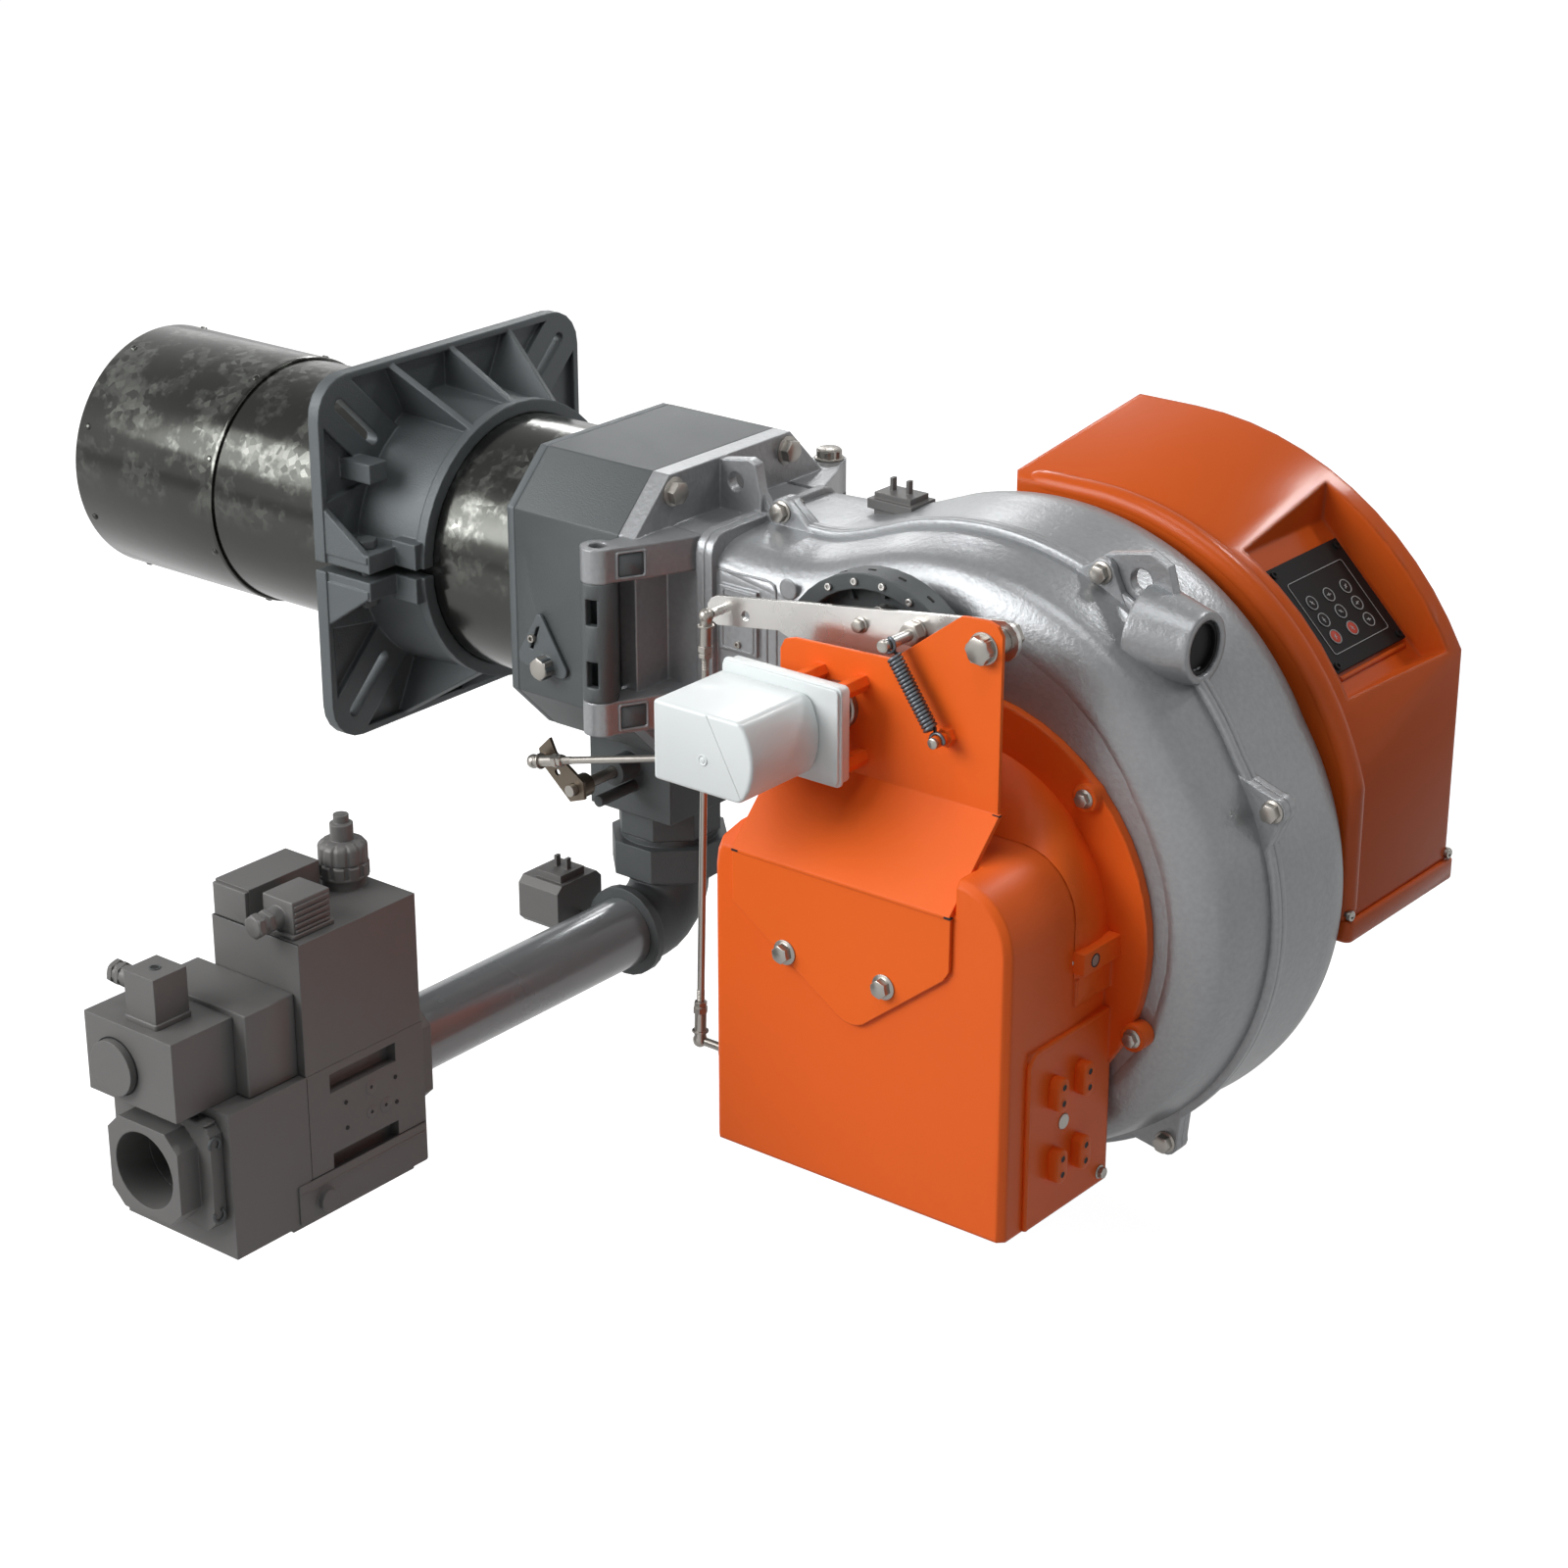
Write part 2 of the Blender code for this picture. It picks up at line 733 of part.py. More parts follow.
def hinge_pin():
    """The pin on the far hinge, with its hexagon head on top."""
    radius = HINGE_BORE - GAP
    pin = cylinder(
        "hinge_pin", "Z", HINGE_X, HINGE_Y, radius, -HINGE_LUG_HIGH, HINGE_LUG_HIGH + GAP + 0.001, 24
    )
    head = HINGE_LUG_HIGH + GAP
    unite(pin, hexagon("hinge_pin_head", "Z", HINGE_X, HINGE_Y, HEX_WIDTH, head, head + HEX_HEAD))
    return finish(pin, "zinc")


def head_adjust_plate(empty):
    """The triangular adjusting plate with its curved slot, on the shaft that reaches into the casing."""
    face = -CASING_HALF_WIDTH - GAP
    outline = (
        arc(ADJUST_X - 0.0065, -0.010, 0.004, 20, 160, 4)
        + arc(0.2035, -0.045, 0.009, 170, 260, 4)
        + arc(0.240, -0.050, 0.007, 270, 380, 4)
    )
    plate = prism("head_adjust_plate", "Y", outline, face - ADJUST_PLATE, face)
    slot = [(0.2150, -0.018), (0.2190, -0.016), (0.2110, -0.038), (0.2075, -0.037)]
    cut(plate, prism("adjust_slot", "Y", slot, face - 0.01, face + 0.01))
    unite(
        plate,
        cylinder("adjust_shaft", "Y", ADJUST_X, ADJUST_Z, ADJUST_SHAFT, face - 0.004, -0.085, 16),
        hexagon(
            "adjust_hex",
            "Y",
            ADJUST_X,
            ADJUST_Z,
            0.017,
            face - ADJUST_PLATE - 0.010,
            face - ADJUST_PLATE + 0.0005,
        ),
        prism(
            "adjust_crank",
            "Y",
            [
                (ADJUST_X - 0.008, ADJUST_Z - 0.006),
                (ADJUST_X + 0.008, ADJUST_Z - 0.006),
                (ADJUST_X + 0.005, -0.006),
                (ADJUST_X - 0.005, -0.006),
            ],
            -0.092,
            -0.087,
        ),
    )
    return finish(plate, "zinc", empty)


def gas_distributor():
    """The gas tube: up through the casing's floor, then forward to the nozzle, with a collar."""
    collar = ELECTRODE_OFFSET + CERAMIC_RADIUS + 0.004
    mouth = 0.012
    profile = [
        (0, NOZZLE_FRONT + 0.013),
        (mouth, NOZZLE_FRONT + 0.013),
        (mouth, NOZZLE_FRONT),
        (NOZZLE_RADIUS, NOZZLE_FRONT),
        (NOZZLE_RADIUS, NOZZLE_FRONT + 0.020),
        (GAS_TUBE_RADIUS, NOZZLE_FRONT + 0.045),
        (GAS_TUBE_RADIUS, CLAMP_COLLAR_X - 0.006),
        (collar, CLAMP_COLLAR_X - 0.006),
        (collar, CLAMP_COLLAR_X),
        (GAS_TUBE_RADIUS, CLAMP_COLLAR_X),
        (GAS_TUBE_RADIUS, GAS_X + GAS_TUBE_RADIUS),
        (0, GAS_X + GAS_TUBE_RADIUS),
    ]
    tube = turned("gas_distributor", "X", 0, 0, profile, 28)
    unite(tube, cylinder("gas_riser", "Z", GAS_X, 0, GAS_TUBE_RADIUS, BUTTERFLY_TOP + GAP, 0.004, 24))
    inner = GAS_TUBE_RADIUS - GAS_TUBE_WALL
    cut(
        tube,
        cylinder("riser_bore", "Z", GAS_X, 0, inner, BUTTERFLY_TOP - 0.01, 0.003, 24),
        cylinder("gas_bore", "X", 0, 0, inner - 0.001, NOZZLE_FRONT + 0.011, GAS_X + inner - 0.002, 24),
    )
    for name, angle in ELECTRODES:
        y, z = polar(0, 0, ELECTRODE_OFFSET, angle)
        cut(
            tube,
            cylinder(
                f"{name}_hole",
                "X",
                y,
                z,
                CERAMIC_RADIUS + GAP,
                CLAMP_COLLAR_X - 0.02,
                CLAMP_COLLAR_X + 0.02,
                16,
            ),
        )
    return finish(tube, "tube_steel")


def electrode(name, angle):
    """A ceramic rod with its wire, held in the distributor's collar."""
    y, z = polar(0, 0, ELECTRODE_OFFSET, angle)
    rod = cylinder(name, "X", y, z, CERAMIC_RADIUS, CLAMP_COLLAR_X - 0.130, CLAMP_COLLAR_X + 0.020, 12)
    tip = SLEEVE_FRONT + 0.014
    unite(
        rod,
        cylinder(name + "_wire", "X", y, z, ELECTRODE_RADIUS, tip, CLAMP_COLLAR_X - 0.12, 8),
        cylinder(
            name + "_terminal",
            "X",
            y,
            z,
            CERAMIC_RADIUS * 0.5,
            CLAMP_COLLAR_X + 0.01,
            CLAMP_COLLAR_X + 0.045,
            8,
        ),
    )
    return finish(rod, "ceramic")


def diffuser_disc(empty):
    """The swirl disc round the nozzle, on a hub that slides on it, with its push rod back to the casing."""
    hub = NOZZLE_RADIUS + GAP
    rod_y = -DISC_RADIUS + 0.012
    profile = [
        (hub, DISC_X),
        (DISC_RADIUS, DISC_X),
        (DISC_RADIUS, DISC_X + DISC_THICKNESS),
        (hub + 0.002, DISC_X + DISC_THICKNESS),
        (hub + 0.002, NOZZLE_FRONT + 0.012),
        (hub, NOZZLE_FRONT + 0.012),
    ]
    disc = turned("diffuser_disc", "X", 0, 0, profile, 32)
    for i in range(12):
        angle = 15 + 30 * i
        first = polar(0, 0, hub + 0.012, angle - 5)
        second = polar(0, 0, DISC_RADIUS - 0.010, angle - 2)
        third = polar(0, 0, DISC_RADIUS - 0.010, angle + 2)
        fourth = polar(0, 0, hub + 0.012, angle + 5)
        cut(disc, prism(f"swirl_slot_{i}", "X", [first, second, third, fourth], DISC_X - 0.01, DISC_X + 0.01))
    for name, angle in ELECTRODES:
        y, z = polar(0, 0, ELECTRODE_OFFSET, angle)
        cut(
            disc,
            cylinder(
                f"{name}_clearance",
                "X",
                y,
                z,
                CERAMIC_RADIUS + 0.003,
                DISC_X - 0.01,
                NOZZLE_FRONT + 0.03,
                12,
            ),
        )
    unite(disc, cylinder("push_rod", "X", rod_y, 0, ROD_RADIUS, DISC_X + 0.0005, ADJUST_X + 0.006, 8))
    return finish(disc, "tube_steel", empty)


# Gas train


def butterfly_valve_body():
    half = BUTTERFLY_HALF
    bottom = BUTTERFLY_TOP - BUTTERFLY_HEIGHT
    body = block(
        "butterfly_valve_body", (GAS_X - half, BUTTERFLY_NEAR, bottom), (GAS_X + half, half, BUTTERFLY_TOP)
    )
    unite(
        body,
        cylinder(
            "butterfly_boss",
            "Y",
            GAS_X,
            BUTTERFLY_AXIS_Z,
            0.012,
            BUTTERFLY_NEAR - 0.022,
            BUTTERFLY_NEAR + 0.01,
            16,
        ),
        cylinder(
            "butterfly_stop",
            "Y",
            GAS_X + 0.004,
            BUTTERFLY_AXIS_Z - 0.018,
            0.005,
            BUTTERFLY_NEAR - 0.045,
            BUTTERFLY_NEAR + 0.01,
            12,
        ),
    )
    cut(
        body,
        cylinder(
            "butterfly_bore",
            "Z",
            GAS_X,
            0,
            GAS_TUBE_RADIUS - GAS_TUBE_WALL,
            bottom - 0.01,
            BUTTERFLY_TOP + 0.01,
            32,
        ),
        cylinder(
            "butterfly_shaft_hole",
            "Y",
            GAS_X,
            BUTTERFLY_AXIS_Z,
            BUTTERFLY_SHAFT + GAP,
            BUTTERFLY_NEAR - 0.03,
            half - 0.006,
            16,
        ),
    )
    return finish(body, "cast_dark")


def butterfly_disc(empty):
    """The throttle disc on its shaft."""
    radius = GAS_TUBE_RADIUS - GAS_TUBE_WALL - 0.0006
    z = BUTTERFLY_AXIS_Z
    shaft = cylinder(
        "butterfly_disc", "Y", GAS_X, z, BUTTERFLY_SHAFT, GAS_LEVER_Y - 0.006, BUTTERFLY_HALF - 0.0065, 16
    )
    unite(
        shaft,
        cylinder(
            "throttle_disc", "Z", GAS_X, 0, radius, z - BUTTERFLY_DISC / 2, z + BUTTERFLY_DISC / 2, 32
        ),
    )
    return finish(shaft, "zinc", empty)


def gas_lever(empty):
    """The flat lever on the butterfly shaft, with its clamp hub."""
    z = BUTTERFLY_AXIS_Z
    back = GAS_LEVER_Y + GAS_LEVER_THICKNESS
    outline = [
        polar(GAS_X, z, 0.013, 250),
        polar(GAS_X, z, 0.013, 330),
        polar(GAS_X, z, 0.013, 40),
        (GAS_BALL_X + 0.012, GAS_BALL_Z + 0.006),
        (GAS_BALL_X + 0.006, GAS_BALL_Z + 0.018),
        (GAS_BALL_X - 0.006, GAS_BALL_Z + 0.006),
        (GAS_BALL_X - 0.004, GAS_BALL_Z - 0.006),
    ]
    lever = prism("gas_lever", "Y", outline, GAS_LEVER_Y, back)
    unite(
        lever,
        cylinder("gas_lever_hub", "Y", GAS_X, z, 0.010, back - 0.001, back + 0.012, 16),
        cylinder(
            "gas_ball_stud",
            "Y",
            GAS_BALL_X,
            GAS_BALL_Z,
            0.003,
            GAS_ROD_Y + SOCKET_RADIUS + GAP,
            back - 0.001,
            10,
        ),
    )
    middle = ((GAS_X + GAS_BALL_X) / 2 - 0.002, (z + GAS_BALL_Z) / 2)
    cut(
        lever,
        cylinder("gas_lever_bore", "Y", GAS_X, z, BUTTERFLY_SHAFT + GAP, GAS_LEVER_Y - 0.01, back + 0.02, 16),
        cylinder("gas_lever_hole", "Y", *middle, 0.003, GAS_LEVER_Y - 0.01, back + 0.01, 12),
    )
    return finish(lever, "zinc", empty)


def union_top():
    top = BUTTERFLY_TOP - BUTTERFLY_HEIGHT - GAP
    body = octagon("union_top", "Z", GAS_X, 0, UNION_TOP_WIDTH, top - UNION_TOP_HEIGHT, top)
    cut(body, cylinder("union_top_bore", "Z", GAS_X, 0, PIPE_BORE, top - 0.05, top + 0.01, 24))
    return finish(body, "cast_dark")


def union_nut():
    top = BUTTERFLY_TOP - BUTTERFLY_HEIGHT - UNION_TOP_HEIGHT - 2 * GAP
    body = octagon("union_nut", "Z", GAS_X, 0, UNION_NUT_WIDTH, top - UNION_NUT_HEIGHT + 0.004, top - 0.006)
    unite(
        body,
        cylinder("union_ring_top", "Z", GAS_X, 0, UNION_NUT_WIDTH / 2 - 0.006, top - 0.010, top, 32),
        cylinder(
            "union_ring_low",
            "Z",
            GAS_X,
            0,
            UNION_NUT_WIDTH / 2 - 0.005,
            top - UNION_NUT_HEIGHT,
            top - 0.030,
            32,
        ),
    )
    cut(body, cylinder("union_nut_bore", "Z", GAS_X, 0, PIPE_BORE, top - 0.08, top + 0.01, 24))
    return finish(body, "cast_dark")


def gas_elbow():
    """The cast bend from the union down to the level gas pipe, with a band at each mouth."""
    top = BUTTERFLY_TOP - BUTTERFLY_HEIGHT - UNION_TOP_HEIGHT - UNION_NUT_HEIGHT - 3 * GAP
    bend = top - PIPE_Z - 0.004
    path = [(GAS_X, 0, top), (GAS_X, 0, PIPE_Z + bend)]
    outer = [ELBOW_BAND, ELBOW_RADIUS]
    for i in range(1, 6):
        angle = math.radians(15 * i)
        path.append((GAS_X, -bend + bend * math.cos(angle), PIPE_Z + bend - bend * math.sin(angle)))
        outer.append(ELBOW_RADIUS)
    path += [
        (GAS_X, -bend, PIPE_Z),
        (GAS_X, ELBOW_END + 0.010, PIPE_Z),
        (GAS_X, ELBOW_END + 0.008, PIPE_Z),
        (GAS_X, ELBOW_END, PIPE_Z),
    ]
    outer += [ELBOW_RADIUS, ELBOW_RADIUS, ELBOW_BAND, ELBOW_BAND]
    return finish(swept("gas_elbow", path, outer, [PIPE_BORE] * len(path), 24), "cast_dark")


def gas_pipe():
    near = VALVE_OUTLET_Y + GAP
    far = ELBOW_END - GAP
    profile = [(PIPE_BORE, near), (PIPE_RADIUS, near), (PIPE_RADIUS, far), (PIPE_BORE, far)]
    return finish(turned("gas_pipe", "Y", GAS_X, PIPE_Z, profile, 32), "pipe_grey")


def gas_pressure_switch():
    """The small box on the elbow's side, with its two contact pins."""
    seat = GAS_X - ELBOW_BAND - GAP
    switch = prism(
        "gas_pressure_switch",
        "X",
        chamfered(-0.058, -0.2900, 0.028, 0.0215, 0.006, 0.006),
        0.152,
        0.197,
    )
    unite(
        switch,
        cylinder("switch_stem", "X", ELBOW_END + 0.004, PIPE_Z, 0.0035, 0.19, seat, 12),
        block("switch_cap", (0.164, -0.076, -0.270), (0.192, -0.046, -0.262)),
        block("switch_pin_left", (0.1720, -0.062, -0.263), (0.1750, -0.057, -0.252)),
        block("switch_pin_right", (0.1840, -0.062, -0.263), (0.1870, -0.057, -0.252)),
    )
    return finish(switch, "valve_dark")


def valve_bore(name, low, high, radius=VALVE_BORE):
    return cylinder(name, "Y", GAS_X, PIPE_Z, radius, low, high, 32)


def valve_outlet_flange():
    near = VALVE_OUTLET_Y - VALVE_FLANGE_THICKNESS
    body = prism(
        "valve_outlet_flange",
        "Y",
        chamfered(GAS_X, PIPE_Z + 0.005, OUTLET_HALF, OUTLET_HALF, 0.016, 0.016),
        near + GAP,
        VALVE_OUTLET_Y,
    )
    cut(body, valve_bore("outlet_bore", near - 0.01, VALVE_OUTLET_Y + 0.01, PIPE_BORE))
    return finish(body, "valve_dark")


def valve_body():
    """The lower double valve block with its through bore, side windows and keyhole clamps."""
    back = VALVE_OUTLET_Y - VALVE_FLANGE_THICKNESS
    front = back - VALVE_BODY_LENGTH
    low = (GAS_X - VALVE_BODY_HALF, front, VALVE_BODY_BOTTOM)
    body = block("valve_body", low, (GAS_X + VALVE_BODY_HALF, back, VALVE_BODY_TOP))
    cut(body, valve_bore("valve_bore", front - 0.01, back + 0.01))
    for i, z in enumerate((-0.263, -0.330)):
        side = GAS_X + VALVE_BODY_HALF
        cut(
            body,
            block(
                f"valve_window_{i}",
                (side - 0.010, back - 0.100, z - 0.010),
                (side + 0.01, back - 0.030, z + 0.006),
            ),
        )
    foot = block(
        "valve_foot",
        (GAS_X - 0.05, SOLENOID_FRONT - 0.012, VALVE_BODY_BOTTOM - 0.010),
        (GAS_X + 0.05, back - 0.006, VALVE_BODY_BOTTOM + 0.001),
    )
    unite(body, foot)
    return finish(body, "valve_dark")


def valve_inlet_flange():
    """The inlet boss with its chamfered face, where the supply pipe screws in."""
    back = VALVE_OUTLET_Y - VALVE_FLANGE_THICKNESS - VALVE_BODY_LENGTH - GAP
    body = prism(
        "valve_inlet_flange",
        "Y",
        chamfered(GAS_X, PIPE_Z, INLET_HALF, INLET_HALF, 0.013, 0.013),
        VALVE_INLET_Y,
        back,
    )
    unite(
        body,
        prism(
            "inlet_shoulder", "Y", chamfered(GAS_X, PIPE_Z, 0.052, 0.044, 0.008, 0.008), back - 0.012, back
        ),
    )
    cut(body, valve_bore("inlet_bore", VALVE_INLET_Y - 0.01, back + 0.01))
    return finish(body, "valve_dark")


def valve_solenoid_block():
    """The tall coil housing with its raised cover and the base ring of the hydraulic brake."""
    bottom = VALVE_BODY_TOP + GAP
    right = GAS_X + VALVE_BODY_HALF
    body = block(
        "valve_solenoid_block",
        (SOLENOID_LEFT, SOLENOID_FRONT, bottom),
        (right, SOLENOID_BACK, SOLENOID_TOP),
    )
    unite(
        body,
        block(
            "solenoid_cover",
            (SOLENOID_LEFT + 0.002, SOLENOID_FRONT + 0.004, SOLENOID_TOP - 0.001),
            (SOLENOID_LEFT + 0.038, -0.414, -0.113),
        ),
        cylinder(
            "brake_seat",
            "Z",
            BRAKE_X,
            BRAKE_Y,
            BRAKE_RADIUS - 0.003,
            SOLENOID_TOP - 0.001,
            SOLENOID_TOP + 0.008,
            24,
        ),
    )
    return finish(body, "valve_dark")


def hydraulic_brake_cap(empty):
    """The fluted adjuster cap with its stem."""
    low = SOLENOID_TOP + 0.008 + GAP
    r = BRAKE_RADIUS
    profile = [
        (0, low),
        (r, low),
        (r, low + 0.010),
        (r - 0.002, low + 0.012),
        (r - 0.002, low + 0.024),
        (r - 0.008, low + 0.028),
        (0.009, low + 0.029),
        (0.009, low + 0.042),
        (0.006, low + 0.043),
        (0.006, low + 0.049),
        (0, low + 0.049),
    ]
    cap = turned("hydraulic_brake_cap", "Z", BRAKE_X, BRAKE_Y, profile, 24)
    for i in range(10):
        x, y = polar(BRAKE_X, BRAKE_Y, r + 0.0008, 36 * i)
        cut(cap, cylinder(f"flute_{i}", "Z", x, y, 0.0028, low + 0.002, low + 0.034, 8))
    return finish(cap, "valve_dark", empty)


def valve_regulator_block():
    bottom = VALVE_BODY_TOP + GAP
    body = block("valve_regulator_block", (0.199, -0.540, bottom), (0.303, SOLENOID_FRONT - GAP, -0.182))
    return finish(body, "valve_dark")


def valve_front_switch():
    """The pressure switch on the valve's front end, with its round cap and plug tower."""
    bottom = VALVE_BODY_TOP + GAP
    body = block("valve_front_switch", (0.196, -0.600, bottom), (0.290, -0.540 - GAP, -0.186))
    unite(
        body,
        cylinder("front_switch_cap", "Y", 0.228, -0.222, 0.022, -0.606, -0.598, 24),
        block("front_plug", (0.232, -0.590, -0.187), (0.264, -0.558, -0.146)),
        cylinder("front_gland", "X", -0.576, -0.160, 0.0085, 0.206, 0.234, 12),
    )
    return finish(body, "valve_dark")


def valve_top_connector():
    low = SOLENOID_TOP + GAP
    body = block("valve_top_connector", (0.268, SOLENOID_FRONT + 0.006, low), (0.300, -0.446, -0.112))
    unite(
        body,
        cylinder(
            "top_gland", "Y", 0.284, -0.127, 0.0085, SOLENOID_FRONT - 0.020, SOLENOID_FRONT + 0.012, 12
        ),
    )
    return finish(body, "valve_dark")


def valve_bottom_plug():
    top = VALVE_BODY_BOTTOM - 0.010 - GAP
    plug = hexagon("valve_bottom_plug", "Z", GAS_X, -0.430, 0.024, top - 0.008, top)
    return finish(plug, "zinc")


# Fan casing


def near_profile(extra=0.0):
    """How far the outline draws in towards the near face: place, scroll inset and duct inset."""
    return [
        (SCROLL_NEAR + extra, 0.050, 0.022),
        (SCROLL_NEAR + extra + 0.006, 0.028, 0.013),
        (SCROLL_NEAR + extra + 0.020, 0.014, 0.006),
        (SEAM_Y - 0.022, 0.004, 0.002),
    ]


def spout(name):
    """The conical spout on the seam, as a solid to unite with either half."""
    profile = [
        (0, SPOUT_X - SPOUT_LENGTH),
        (SPOUT_ROOT_RADIUS, SPOUT_X - SPOUT_LENGTH),
        (SPOUT_RADIUS + 0.002, SPOUT_X - 0.012),
        (SPOUT_RADIUS, SPOUT_X),
        (0, SPOUT_X),
    ]
    return turned(name, "X", SEAM_Y, SPOUT_Z, profile, 24)


def spout_bore(name):
    return cylinder(
        name, "X", SEAM_Y, SPOUT_Z, SPOUT_BORE, SPOUT_X - SPOUT_LENGTH - 0.004, SPOUT_X + 0.01, 24
    )


SEAM_LUGS = (
    (0.3866, 0.0887, 100),
    (0.691, 0.1027, 74),
    (0.8473, -0.0486, 24),
    (0.7691, -0.348, -53),
    (0.4700, -0.348, 233),
)


def seam_lug(name, x, z, angle, low, high):
    """A triangular bolt lug on the seam lip: a round end with two sides sloping to the rim."""
    side = math.radians(angle)
    out = Vector((math.cos(side), math.sin(side)))
    along = Vector((-out.y, out.x))
    centre = Vector((x, z))
    round_end = arc(x, z, 0.011, angle - 70, angle + 70, 6)
    roots = [centre + along * 0.034 - out * 0.022, centre - along * 0.034 - out * 0.022]
    return prism(name, "Y", round_end + [tuple(p) for p in roots], low, high)


def scroll_rear():
    """The main casting: hinge flange, arms, duct neck and the rear half of the scroll."""
    front = CASING_BACK + GAP
    body = prism("scroll_rear", "X", casing_outline(), front, front + HINGE_PLATE)
    neck = stack(
        "duct_neck",
        "X",
        [
            (front + 0.004, rounded(0, 0, DUCT_HALF_WIDTH, DUCT_HALF_HEIGHT, 0.012, 3)),
            (DUCT_END, rounded(0, 0, DUCT_HALF_WIDTH, DUCT_HALF_HEIGHT, 0.012, 3)),
        ],
    )
    ring = prism(
        "duct_ring",
        "X",
        rounded(0, 0, DUCT_HALF_WIDTH + DUCT_RING, DUCT_HALF_HEIGHT + DUCT_RING, 0.017, 3),
        DUCT_END - 0.008,
        DUCT_END,
    )
    far = [
        (SEAM_Y, 0, 0),
        (SEAM_Y + 0.060, 0.003, 0.001),
        (SCROLL_FAR - 0.012, 0.006, 0.003),
        (SCROLL_FAR, 0.018, 0.010),
    ]
    shell = stack("rear_shell", "Y", [(y, scroll_outline(a, b, DUCT_END - 0.004)) for y, a, b in far])
    lip = prism(
        "rear_lip",
        "Y",
        scroll_outline(-SEAM_LIP, -SEAM_LIP, DUCT_END - 0.003),
        SEAM_Y,
        SEAM_Y + SEAM_LIP_WIDTH,
    )
    unite(body, neck, ring, shell, lip)
    for hand in (-1, 1):
        for low, high in ((HINGE_LUG_LOW, HINGE_LUG_HIGH), (-HINGE_LUG_HIGH, -HINGE_LUG_LOW)):
            y = HINGE_Y * hand
            tag = f"{'near' if hand < 0 else 'far'}_{'high' if low > 0 else 'low'}"
            arm = [
                (HINGE_X, y + HINGE_RADIUS * 0.6 * hand),
                (HINGE_X + HINGE_RADIUS, y),
                (0.3347, 0.1214 * hand),
                (0.3543, 0.0760 * hand),
                (front + 0.010, 0.0760 * hand),
                (front + 0.004, (CASING_HALF_WIDTH - 0.004) * hand),
                (HINGE_X - 0.002, y),
            ]
            unite(
                body,
                cylinder("lug_" + tag, "Z", HINGE_X, y, HINGE_RADIUS, low, high, 24),
                prism("arm_" + tag, "Z", arm, low, high),
            )
        cut(body, cylinder(f"lug_bore_{hand}", "Z", HINGE_X, HINGE_Y * hand, HINGE_BORE, -0.1, 0.1, 24))
    eye = [(front + 0.010, 0.070)] + [
        (front + 0.010, 0.118),
        (0.350, 0.124),
        (0.357, 0.121),
        (0.362, 0.098),
        (0.374, 0.082),
        (0.374, 0.070),
    ]
    unite(body, prism("eye_plate", "Y", eye, -0.014, -0.004), spout("rear_spout"))
    for i, (x, z, angle) in enumerate(SEAM_LUGS):
        unite(body, seam_lug(f"rear_lug_{i}", x, z, angle, SEAM_Y, SEAM_Y + 0.008))
    rim_eye = [(0.664, 0.094), (0.690, 0.116), (0.728, 0.124), (0.744, 0.116), (0.756, 0.076), (0.700, 0.060)]
    unite(body, prism("rim_eye", "Y", rim_eye, SEAM_Y, SEAM_Y + 0.009))
    inside = [
        (SEAM_Y - 0.02, 0, 0),
        (SEAM_Y + 0.060, 0.003, 0.001),
        (SCROLL_FAR - SCROLL_WALL - 0.008, 0.006, 0.003),
        (SCROLL_FAR - SCROLL_WALL, 0.016, 0.009),
    ]
    room = [(y, scroll_outline(a + SCROLL_WALL, b + SCROLL_WALL, DUCT_END - 0.02)) for y, a, b in inside]
    cut(
        body,
        stack("rear_room", "Y", room),
        block(
            "neck_room",
            (front - 0.01, -DUCT_HALF_WIDTH + SCROLL_WALL, -DUCT_HALF_HEIGHT + SCROLL_WALL),
            (DUCT_END + 0.02, DUCT_HALF_WIDTH - SCROLL_WALL, DUCT_HALF_HEIGHT - SCROLL_WALL),
        ),
        cylinder("eye_hole", "Y", 0.337, 0.103, 0.008, -0.03, 0.01, 16),
        cylinder("rim_eye_hole", "Y", 0.7213, 0.1003, 0.010, SEAM_Y - 0.01, SEAM_Y + 0.02, 16),
        cylinder("motor_hole", "Y", FAN_X, FAN_Z, MOTOR_HOLE, 0.05, 0.1, 24),
        spout_bore("rear_spout_bore"),
        block("front_side", (DUCT_END, -0.12, -0.6), (1.0, SEAM_Y, 0.3)),
    )
    return finish(body, "cast_light")


